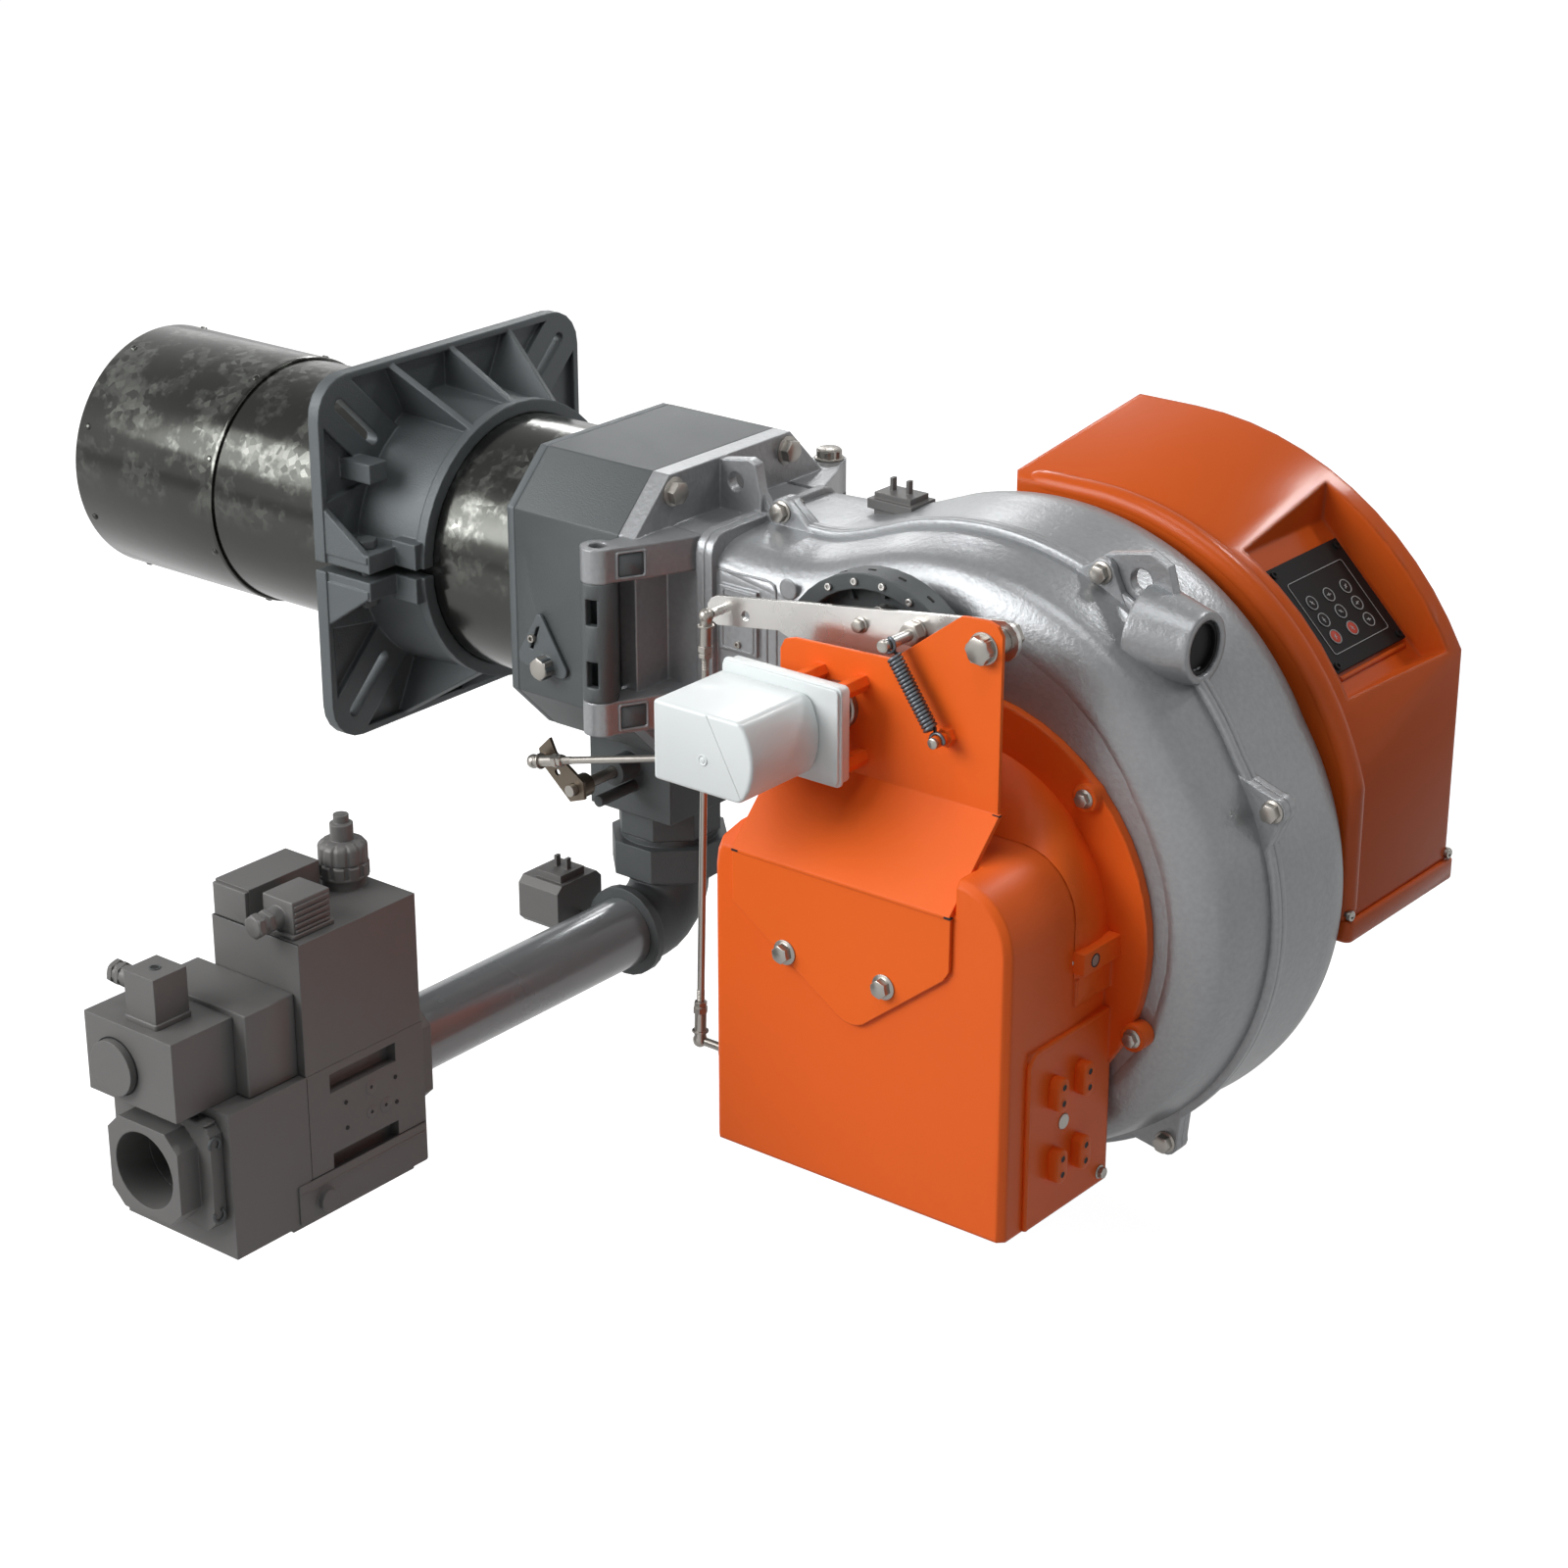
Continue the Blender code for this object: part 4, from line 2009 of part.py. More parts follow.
def air_pressure_switch():
    """The air pressure switch on top of the duct, with its two contact pins."""
    low = DUCT_HALF_HEIGHT + 0.006
    body = block("air_pressure_switch", (0.424, 0.046, low), (0.468, 0.078, low + 0.008))
    unite(
        body,
        block("switch_foot", (0.430, 0.047, DUCT_HALF_HEIGHT - SWITCH_SINK), (0.452, 0.055, low + 0.001)),
        block("switch_top", (0.428, 0.050, low + 0.007), (0.464, 0.074, low + 0.013)),
        block("air_pin_left", (0.436, 0.060, low + 0.012), (0.439, 0.065, low + 0.024)),
        block("air_pin_right", (0.452, 0.060, low + 0.012), (0.455, 0.065, low + 0.024)),
    )
    return finish(body, "valve_dark")


def make_materials():
    paint("cast_grey", (0.105, 0.112, 0.115), 0.62, 0.35)
    paint("cast_dark", (0.060, 0.062, 0.063), 0.55, 0.25)
    paint("cast_light", (0.300, 0.330, 0.340), 0.45, 0.55)
    paint("tube_steel", (0.180, 0.190, 0.195), 0.30, 0.90)
    paint("bright_steel", (0.620, 0.620, 0.610), 0.25, 0.95)
    paint("zinc", (0.420, 0.410, 0.395), 0.35, 0.85)
    paint("pipe_grey", (0.110, 0.113, 0.115), 0.35, 0.30)
    paint("valve_dark", (0.065, 0.067, 0.069), 0.50, 0.30)
    paint("orange", (0.830, 0.145, 0.022), 0.42, 0.0)
    paint("orange_gloss", (0.680, 0.110, 0.025), 0.22, 0.0)
    paint("servo_white", (0.720, 0.735, 0.740), 0.40, 0.0)
    paint("black_plastic", (0.012, 0.012, 0.012), 0.35, 0.0)
    paint("ceramic", (0.750, 0.720, 0.660), 0.45, 0.0)
    paint("spring_dark", (0.140, 0.145, 0.140), 0.45, 0.60)


def build():
    for obj in list(bpy.data.objects):
        bpy.data.objects.remove(obj, do_unlink=True)
    make_materials()
    pin_x, pin_z = polar(SERVO_X, SERVO_Z, CRANK_LENGTH, CRANK_ANGLE)
    adjust_axis = pivot("adjust_axis", ADJUST_X, -CASING_HALF_WIDTH, ADJUST_Z)
    diffuser_axis = pivot("diffuser_axis", DISC_X, 0, 0)
    throttle_axis = pivot("throttle_axis", GAS_X, 0, BUTTERFLY_AXIS_Z)
    brake_axis = pivot("brake_axis", BRAKE_X, BRAKE_Y, SOLENOID_TOP)
    servo_axis = pivot("servo_axis", SERVO_X, SERVO_BACK, SERVO_Z)
    lever_axis = pivot("lever_axis", LEVER_PIVOT_X, LEVER_Y, LEVER_PIVOT_Z)
    air_rod_axis = pivot("air_rod_axis", AIR_BALL_X, AIR_BALL_Y, AIR_BALL_Z)
    damper_axis = pivot("damper_axis", BOX_X, DAMPER_Y, DAMPER_Z)
    gas_rod_axis = pivot("gas_rod_axis", pin_x, GAS_ROD_Y, pin_z)
    fan_axis = pivot("fan_axis", FAN_X, 0, FAN_Z)
    flange_half("flange_upper", 1)
    flange_half("flange_lower", -1)
    clamp_bolt("clamp_bolt_near", -1)
    clamp_bolt("clamp_bolt_far", 1)
    blast_tube()
    blast_sleeve()
    casing_front_plate()
    head_casing()
    hinge_pin()
    head_adjust_plate(adjust_axis)
    gas_distributor()
    electrode("ignition_electrode", ELECTRODES[0][1])
    electrode("ionisation_probe", ELECTRODES[1][1])
    diffuser_disc(diffuser_axis)
    butterfly_valve_body()
    butterfly_disc(throttle_axis)
    gas_lever(throttle_axis)
    union_top()
    union_nut()
    gas_elbow()
    gas_pipe()
    gas_pressure_switch()
    valve_outlet_flange()
    valve_body()
    valve_inlet_flange()
    valve_solenoid_block()
    hydraulic_brake_cap(brake_axis)
    valve_regulator_block()
    valve_front_switch()
    valve_top_connector()
    valve_bottom_plug()
    scroll_rear()
    scroll_front()
    spout_plug()
    air_box()
    damper(damper_axis)
    servo_bracket()
    lever_pivot_bolt()
    servo_motor()
    servo_shaft(servo_axis)
    air_lever(lever_axis)
    socket_rod(
        "air_rod",
        (AIR_BALL_X, AIR_BALL_Y, AIR_BALL_Z),
        (AIR_ROD_X, DAMPER_Y - DAMPER_CRANK, DAMPER_Z - DAMPER_CRANK),
        air_rod_axis,
    )
    socket_rod("gas_rod", (pin_x, GAS_ROD_Y, pin_z), (GAS_BALL_X, GAS_ROD_Y, GAS_BALL_Z), gas_rod_axis)
    lever_spring()
    fan_wheel(fan_axis)
    motor_shaft(fan_axis)
    motor()
    control_hood()
    control_base()
    control_panel()
    air_pressure_switch()


build()
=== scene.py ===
"""Surfaces, small parts and materials of the gas burner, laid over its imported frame.

All coordinates below are millimetres in the row frame: +X from the boiler to the fan, +Z up, -Y to the servo.
"""

import json
import math

import bmesh
import bpy
import numpy as np
from bpy.props import FloatProperty, IntProperty, PointerProperty
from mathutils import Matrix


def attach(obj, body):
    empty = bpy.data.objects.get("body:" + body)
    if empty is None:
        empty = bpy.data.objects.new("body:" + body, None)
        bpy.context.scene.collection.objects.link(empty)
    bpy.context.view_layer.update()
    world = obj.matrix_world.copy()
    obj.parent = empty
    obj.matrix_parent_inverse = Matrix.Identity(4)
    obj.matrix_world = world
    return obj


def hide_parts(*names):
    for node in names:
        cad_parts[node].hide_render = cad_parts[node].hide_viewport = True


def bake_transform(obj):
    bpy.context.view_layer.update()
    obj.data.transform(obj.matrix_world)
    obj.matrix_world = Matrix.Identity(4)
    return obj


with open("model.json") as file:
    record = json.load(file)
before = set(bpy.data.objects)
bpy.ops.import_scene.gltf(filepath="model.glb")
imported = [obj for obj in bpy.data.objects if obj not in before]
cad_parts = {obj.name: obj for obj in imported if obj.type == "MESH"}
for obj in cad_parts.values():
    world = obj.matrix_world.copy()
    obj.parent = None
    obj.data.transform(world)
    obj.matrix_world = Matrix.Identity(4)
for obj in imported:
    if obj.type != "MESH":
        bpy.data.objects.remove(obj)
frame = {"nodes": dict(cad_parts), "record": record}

bl_info = {
    "name": "Gas burner surfaces",
    "version": (1, 0, 0),
    "blender": (4, 5, 0),
    "location": "3D View > Sidebar > Burner",
    "description": "Builds the visible surfaces of a gas burner over its packed frame",
    "category": "Object",
}

MM = 0.001
TO_BOILER, TO_FAN = (-1, 0, 0), (1, 0, 0)
TO_SERVO, TO_HOOD, UP = (0, -1, 0), (0, 1, 0), (0, 0, 1)
FAN_X, FAN_Z, RING_Z = 620.0, -150.0, -156.0
SEAM_Y = -10.15
SERVO_X, SERVO_Z = 557.0, 10.0
HOOD_X, HOOD_Z, HOOD_RIM = 602.0, -136.0, 253.5
PANEL_X, PANEL_Z, PANEL_SLOPE = 744.5, 75.5, math.sqrt(0.5)
VALVE_FACE = 310.0
HINGE_X, HINGE_Y = 306.5, 147.0
DUCT_START, DUCT_HALF = 363.3, 78.0
SPIRAL_RADIUS, SPIRAL_GROWTH, SPIRAL_FROM = 232.0, 0.53, 395.0
SPIRAL_START, SPIRAL_END = 174.0, 486.0
BLEND_PASSES, BLEND_REACH = 60, 60.0
AIR_ROD = ((427.0, -160.0, 50.0), (432.0, -178.0, -302.0))
GAS_ROD = ((524.76, -133.0, -48.16), (218.0, -133.0, -131.0))
CREASE = math.radians(38)
SENSOR, PHOTO_WIDTH, FOCAL_PIXELS = 36.0, 1600.0, 3532.461
CAMERA_PLACE, CAMERA_TILT, CAMERA_TURN = (2.026482, -2.066299, 0.938066), 67.571, 38.631
MATERIALS = {}


# Settings


class TubeSettings(bpy.types.PropertyGroup):
    """Sizes of the blast tube's small parts."""

    rivets: IntProperty(name="Rivets", description="Rivets round the sleeve's joint", default=8, min=1)
    rivet_radius: FloatProperty(
        name="Rivet radius", description="Radius of one rivet head", default=0.0032, unit="LENGTH"
    )


class ScrollSettings(bpy.types.PropertyGroup):
    """How finely the scroll's shells are drawn."""

    step: FloatProperty(name="Step", description="Degrees between the spiral's sections", default=1.5)
    lift: FloatProperty(
        name="Lift", description="How far a shell lies outside its CAD solid", default=0.0004, unit="LENGTH"
    )


class SpringSettings(bpy.types.PropertyGroup):
    """Sizes of the air lever's return spring."""

    wire: FloatProperty(name="Wire radius", description="Radius of the wire", default=0.0014, unit="LENGTH")
    radius: FloatProperty(
        name="Coil radius", description="Coil radius at the wire's centre", default=0.0048, unit="LENGTH"
    )
    turns: IntProperty(name="Turns", description="Turns of the close-wound coil", default=20, min=2)


class StageSettings(bpy.types.PropertyGroup):
    """Floor and lights."""

    drop: FloatProperty(
        name="Floor height", description="Height of the floor under the burner", default=-0.44, unit="LENGTH"
    )
    key: FloatProperty(name="Key light", description="Power of the key light", default=92.0, unit="POWER")
    fill: FloatProperty(name="Fill light", description="Power of the fill light", default=16.0, unit="POWER")
    sky: FloatProperty(name="Sky", description="Strength of the surrounding light", default=0.17)
    glow: FloatProperty(name="Floor glow", description="Light the floor shows to the camera", default=0.94)
    sheen: FloatProperty(name="Floor sheen", description="Share of the glow in reflections", default=0.55)


# Surfaces


def unit(vector):
    """The vector at length one."""
    vector = np.asarray(vector, float)
    return vector / np.linalg.norm(vector)


def basis(axis):
    """Two unit vectors across an axis."""
    axis = unit(axis)
    helper = np.array([0.0, 0.0, 1.0]) if abs(axis[2]) < 0.9 else np.array([1.0, 0.0, 0.0])
    first = unit(np.cross(helper, axis))
    return first, np.cross(axis, first)


def round_angles(steps):
    """Even angles once round, in radians."""
    return np.linspace(0, 2 * np.pi, steps, endpoint=False)


def spokes(axis, steps, twist=0.0):
    """Unit vectors at even angles round an axis."""
    first, second = basis(axis)
    angle = round_angles(steps) + twist
    return np.cos(angle)[:, None] * first + np.sin(angle)[:, None] * second


def hexagon(steps):
    """How far a hexagon's edge lies out at even angles, for a hexagon that is 2 wide across its flats."""
    return 1 / np.cos((round_angles(steps) + np.pi / 6) % (np.pi / 3) - np.pi / 6)


def upright(flat, y):
    """Points (x, z) of an upright plane, set at a place across the burner."""
    flat = np.asarray(flat, float)
    return np.column_stack([flat[:, 0], np.full(len(flat), float(y)), flat[:, 1]])


def shown(name, data):
    """A new object in the scene."""
    obj = bpy.data.objects.new(name, data)
    bpy.context.scene.collection.objects.link(obj)
    return obj


class Sheet:
    """Collects grids of points and their faces for one object."""

    def __init__(self):
        self.points = []
        self.faces = []
        self.count = 0

    def add(self, points, faces):
        """Adds points and faces that index into them."""
        points = np.asarray(points, float)
        self.points.append(points)
        self.faces += [[i + self.count for i in face] for face in faces]
        self.count += len(points)

    def weave(self, rows, around=True, ends=(None, None), flat=(False, False)):
        """Joins rows of points in order; an end can close in a pole or in one flat face."""
        rows = np.asarray(rows, float)
        m, n = rows.shape[:2]
        index = np.arange(m * n).reshape(m, n)
        first, second = index, np.roll(index, -1, axis=1)
        if not around:
            first, second = first[:, :-1], second[:, :-1]
        faces = np.stack([first[:-1], second[:-1], second[1:], first[1:]], axis=-1)
        faces = faces.reshape(-1, 4).tolist()
        points = rows.reshape(-1, 3)
        for row, pole, cap in ((0, ends[0], flat[0]), (m - 1, ends[1], flat[1])):
            if pole is not None:
                tip = len(points)
                points = np.vstack([points, pole])
                ring = index[row].tolist()
                faces += [[a, b, tip] for a, b in zip(ring, ring[1:] + ring[:1])]
            elif cap:
                faces.append(index[row].tolist())
        self.add(points, faces)

    def turn(self, profile, base, axis, steps=48):
        """Turns a profile of (radius, height) about an axis; a radius of 0 at an end makes a pole."""
        axis = unit(axis)
        base = np.asarray(base, float)
        profile = np.asarray(profile, float)
        ends = [None, None]
        if profile[0, 0] < 1e-6:
            ends[0] = base + axis * profile[0, 1]
            profile = profile[1:]
        if profile[-1, 0] < 1e-6:
            ends[1] = base + axis * profile[-1, 1]
            profile = profile[:-1]
        rows = base + profile[:, :1, None] * spokes(axis, steps)[None] + profile[:, 1:, None] * axis
        self.weave(rows, ends=ends)

    def disc(self, base, axis, radius, low, high, steps=32):
        """A flat round piece between two heights."""
        self.turn([(0, low), (radius, low), (radius, high), (0, high)], base, axis, steps)

    def ring(self, profile, base, axis, steps=96):
        """Turns a closed profile of (radius, height) about an axis."""
        axis = unit(axis)
        profile = np.asarray(list(profile) + [profile[0]], float)
        rows = profile[:, :1, None] * spokes(axis, steps)[None] + profile[:, 1:, None] * axis
        self.weave(np.asarray(base, float) + rows)

    def band(self, base, axis, inner, outer, low, high, steps=32):
        """A flat ring between two radii and two heights."""
        self.ring([(inner, low), (outer, low), (outer, high), (inner, high)], base, axis, steps)

    def run(self, path, radius, steps=16, closed=False, up=None):
        """Sweeps a round section along a path; its frame is carried along without twist."""
        path = np.asarray(path, float)
        radius = np.broadcast_to(np.asarray(radius, float), len(path))
        if closed:
            ahead = np.roll(path, -1, axis=0) - np.roll(path, 1, axis=0)
        else:
            ahead = np.gradient(path, axis=0)
        ahead = ahead / np.linalg.norm(ahead, axis=1)[:, None]
        side = basis(ahead[0])[0] if up is None else unit(np.cross(up, ahead[0]))
        rows = []
        angle = round_angles(steps)
        for point, tangent, reach in zip(path, ahead, radius):
            side = unit(side - tangent * (side @ tangent))
            over = np.cross(tangent, side)
            rows.append(point + reach * (np.cos(angle)[:, None] * side + np.sin(angle)[:, None] * over))
        if closed:
            rows.append(rows[0])
            self.weave(rows)
        else:
            self.weave(rows, ends=(path[0], path[-1]))

    def slab(self, outline, axis, low, high, edge=0.6, turn=None, rounds=3):
        """An outline given thickness across X, Y or Z, its edges rounded over, then turned by a matrix."""
        outline = np.asarray(outline, float)
        area = np.sum(outline[:, 0] * np.roll(outline[:, 1], -1) - np.roll(outline[:, 0], -1) * outline[:, 1])
        if area < 0:
            outline = outline[::-1]
        before = outline - np.roll(outline, 1, axis=0)
        after = np.roll(outline, -1, axis=0) - outline
        before /= np.linalg.norm(before, axis=1)[:, None]
        after /= np.linalg.norm(after, axis=1)[:, None]
        out = np.stack([before[:, 1] + after[:, 1], -before[:, 0] - after[:, 0]], axis=1)
        out /= np.maximum(np.sum(out * out, axis=1) / 2, 0.5)[:, None]
        rows = []
        for end, way in ((low, 1), (high, -1)):
            part = []
            for i in range(rounds + 1):
                angle = np.pi / 2 * i / rounds
                inset = edge * (1 - np.sin(angle))
                rise = edge * (1 - np.cos(angle))
                part.append((outline - out * inset, end + way * rise))
            rows += part if way > 0 else part[::-1]
        order = {"X": (2, 0, 1), "Y": (0, 2, 1), "Z": (0, 1, 2)}[axis]
        grid = []
        for flat, height in rows:
            grid.append(np.column_stack([flat, np.full(len(flat), height)])[:, order])
        grid = np.asarray(grid)
        if turn is not None:
            grid = grid @ np.asarray(turn[0], float).T + np.asarray(turn[1], float)
        self.weave(grid, flat=(True, True))

    def bolt(self, base, axis, width, height, washer=0.0, twist=0.0):
        """A hexagon head whose corners are chamfered by a cone, on a washer if one is given."""
        axis = unit(axis)
        base = np.asarray(base, float)
        if washer:
            thick = width * 0.09
            profile = [(0, 0), (washer, 0), (washer, thick * 0.8), (washer - thick * 0.3, thick), (0, thick)]
            self.turn(profile, base, axis, 32)
            base = base + axis * thick
        corner = width / 2 * hexagon(48)
        around = spokes(axis, 48, twist)
        shoulder = height - (corner - width * 0.47) * 0.58
        rows = [
            base + corner[:, None] * around,
            base + corner[:, None] * around + shoulder[:, None] * axis,
            base + width * 0.47 * around + height * axis,
        ]
        self.weave(rows, ends=(base, base + axis * height))

    def cap_screw(self, base, axis, radius, height):
        """A round head with a hexagon socket."""
        axis = unit(axis)
        base = np.asarray(base, float)
        hexed = radius * 0.5 * hexagon(36)
        around = spokes(axis, 36)
        rows = []
        for reach, rise in ((radius, 0), (radius, height * 0.85), (radius * 0.9, height)):
            rows.append(base + reach * around + rise * axis)
        rows.append(base + hexed[:, None] * around + height * axis)
        rows.append(base + hexed[:, None] * around + height * 0.35 * axis)
        self.weave(rows, ends=(base, base + axis * height * 0.3))

    def build(self, name, material, body, replaces=(), smooth=35.0):
        """Makes the object, in metres, turns its faces outwards and ties it to its body."""
        mesh = bpy.data.meshes.new(name)
        mesh.from_pydata((np.vstack(self.points) * MM).tolist(), [], self.faces)
        work = bmesh.new()
        work.from_mesh(mesh)
        bmesh.ops.remove_doubles(work, verts=work.verts, dist=1e-7)
        bmesh.ops.recalc_face_normals(work, faces=work.faces)
        work.to_mesh(mesh)
        work.free()
        obj = shown(name, mesh)
        mesh.materials.append(MATERIALS[material])
        mesh.shade_smooth()
        mesh.set_sharp_from_angle(angle=math.radians(smooth))
        if body is not None:
            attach(obj, body)
        if replaces:
            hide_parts(*replaces)
        return obj


def circle(u, v, radius, steps=32):
    """Points of a circle in a plane."""
    angle = round_angles(steps)
    return np.column_stack([u + radius * np.cos(angle), v + radius * np.sin(angle)])


def rounded(u, v, half_u, half_v, radius, steps=6):
    """A rectangle with round corners, about a centre."""
    parts = []
    for k, (su, sv) in enumerate(((1, 1), (-1, 1), (-1, -1), (1, -1))):
        angle = np.radians(np.linspace(90 * k, 90 * k + 90, steps + 1))
        across = u + su * (half_u - radius) + radius * np.cos(angle)
        along = v + sv * (half_v - radius) + radius * np.sin(angle)
        parts.append(np.column_stack([across, along]))
    return np.vstack(parts)


def eased(knots, count):
    """Points on a smooth curve through rows of knots, with monotone slopes in each column."""
    knots = np.asarray(knots, float)
    t = np.concatenate([[0], np.cumsum(np.linalg.norm(np.diff(knots[:, :2], axis=0), axis=1))])
    step = np.diff(t)[:, None]
    slope = np.diff(knots, axis=0) / step
    tangent = np.empty_like(knots)
    tangent[0], tangent[-1] = slope[0], slope[-1]
    weight = step[1:] / (step[1:] + step[:-1])
    tangent[1:-1] = slope[:-1] * weight + slope[1:] * (1 - weight)
    at = np.linspace(0, t[-1], count)
    i = np.clip(np.searchsorted(t, at) - 1, 0, len(t) - 2)
    h = (t[i + 1] - t[i])[:, None]
    s = ((at - t[i])[:, None]) / h
    return (
        knots[i] * (2 * s**3 - 3 * s**2 + 1)
        + tangent[i] * h * (s**3 - 2 * s**2 + s)
        + knots[i + 1] * (-2 * s**3 + 3 * s**2)
        + tangent[i + 1] * h * (s**3 - s**2)
    )


# Materials


def linear(code):
    """A hex colour as linear red, green and blue."""
    parts = [int(code[i : i + 2], 16) / 255 for i in (1, 3, 5)]
    return tuple(c / 12.92 if c <= 0.04045 else ((c + 0.055) / 1.055) ** 2.4 for c in parts)


def shaded(colour, factor):
    """A linear colour made darker or lighter."""
    return tuple(min(1.0, c * factor) for c in colour[:3]) + (1.0,)


def feed(tree, socket, value):
    """Links a socket to another node's output, or sets its own value."""
    if isinstance(value, bpy.types.NodeSocket):
        tree.links.new(value, socket)
    else:
        socket.default_value = value


def node(tree, kind, **inputs):
    """A shader node with its inputs set or linked."""
    made = tree.nodes.new(kind)
    for name, value in inputs.items():
        feed(tree, made.inputs[name.replace("_", " ")], value)
    return made


def mixed(tree, factor, first, second):
    """A colour between two others."""
    made = tree.nodes.new("ShaderNodeMix")
    made.data_type = "RGBA"
    for index, value in ((0, factor), (6, first), (7, second)):
        feed(tree, made.inputs[index], value)
    return made.outputs[2]


def maths(tree, operation, first, second):
    """Two shader values joined by one of Blender's operations."""
    made = tree.nodes.new("ShaderNodeMath")
    made.operation = operation
    for socket, value in zip(made.inputs, (first, second)):
        feed(tree, socket, value)
    return made.outputs[0]


def ranged(tree, value, low, high):
    """A shader value spread from 0 at one value to 1 at another."""
    return node(tree, "ShaderNodeMapRange", Value=value, From_Min=low, From_Max=high).outputs["Result"]


def directly_seen(tree, sheen=1.0):
    """1 for the camera's rays and for those that pass through glass, and a share for mirrored ones."""
    path = tree.nodes.new("ShaderNodeLightPath").outputs
    mirrored = maths(tree, "MULTIPLY", path["Is Glossy Ray"], sheen)
    direct = maths(tree, "MAXIMUM", path["Is Camera Ray"], mirrored)
    return maths(tree, "MAXIMUM", direct, path["Is Transmission Ray"])


def finish_material(
    name, code, rough, metallic, grain, blotch, edge, coat=0.0, flake=0.0, spangle=0.0, shine=0.5
):
    """A painted or metal surface: fine grain as a bump, slow changes of tone and softened edges."""
    material = bpy.data.materials.new(name)
    material.use_nodes = True
    tree = material.node_tree
    shader = tree.nodes["Principled BSDF"]
    where = tree.nodes.new("ShaderNodeTexCoord").outputs["Object"]
    colour = (*linear(code), 1.0)
    slow = node(tree, "ShaderNodeTexNoise", Vector=where, Scale=blotch[0], Detail=4.0, Roughness=0.6)
    tone = mixed(tree, slow.outputs["Fac"], shaded(colour, 1 - blotch[1]), shaded(colour, 1 + blotch[1]))
    fine = node(tree, "ShaderNodeTexNoise", Vector=where, Scale=grain[0], Detail=3.0, Roughness=0.55)
    if flake:
        tone = mixed(tree, ranged(tree, fine.outputs["Fac"], 0.35, 0.70), tone, shaded(colour, 1 + flake))
    # Spangle cells, kept to the upper half by a height mask and lightened there: the real crystal pattern,
    # with a painted highlight on the top of the tube where the light falls.
    if spangle:
        cells = node(tree, "ShaderNodeTexVoronoi", Vector=where, Scale=150.0)
        shade = node(tree, "ShaderNodeSeparateColor", Color=cells.outputs["Color"]).outputs["Red"]
        patch = node(tree, "ShaderNodeTexNoise", Vector=where, Scale=22.0, Detail=4.0, Roughness=0.65)
        patch = ranged(tree, patch.outputs["Fac"], 0.46, 0.56)
        place = node(tree, "ShaderNodeSeparateXYZ", Vector=where)
        upper = maths(tree, "MULTIPLY", patch, ranged(tree, place.outputs["Z"], -0.015, 0.045))
        tone = mixed(tree, maths(tree, "MULTIPLY", shade, upper), tone, shaded(colour, 1 + spangle))
    tree.links.new(tone, shader.inputs["Base Color"])
    worn = node(tree, "ShaderNodeMapRange", Value=slow.outputs["Fac"])
    worn.inputs["To Min"].default_value = max(0.02, rough - 0.06)
    worn.inputs["To Max"].default_value = rough + 0.06
    tree.links.new(worn.outputs["Result"], shader.inputs["Roughness"])
    shader.inputs["Metallic"].default_value = metallic
    shader.inputs["Specular IOR Level"].default_value = shine
    shader.inputs["Coat Weight"].default_value = coat
    shader.inputs["Coat Roughness"].default_value = 0.08
    soft = tree.nodes.new("ShaderNodeBevel")
    soft.samples = 6
    soft.inputs["Radius"].default_value = edge
    bump = node(tree, "ShaderNodeBump", Height=fine.outputs["Fac"], Distance=grain[1], Strength=1.0)
    tree.links.new(soft.outputs["Normal"], bump.inputs["Normal"])
    tree.links.new(bump.outputs["Normal"], shader.inputs["Normal"])
    material.diffuse_color = colour
    MATERIALS[name] = material


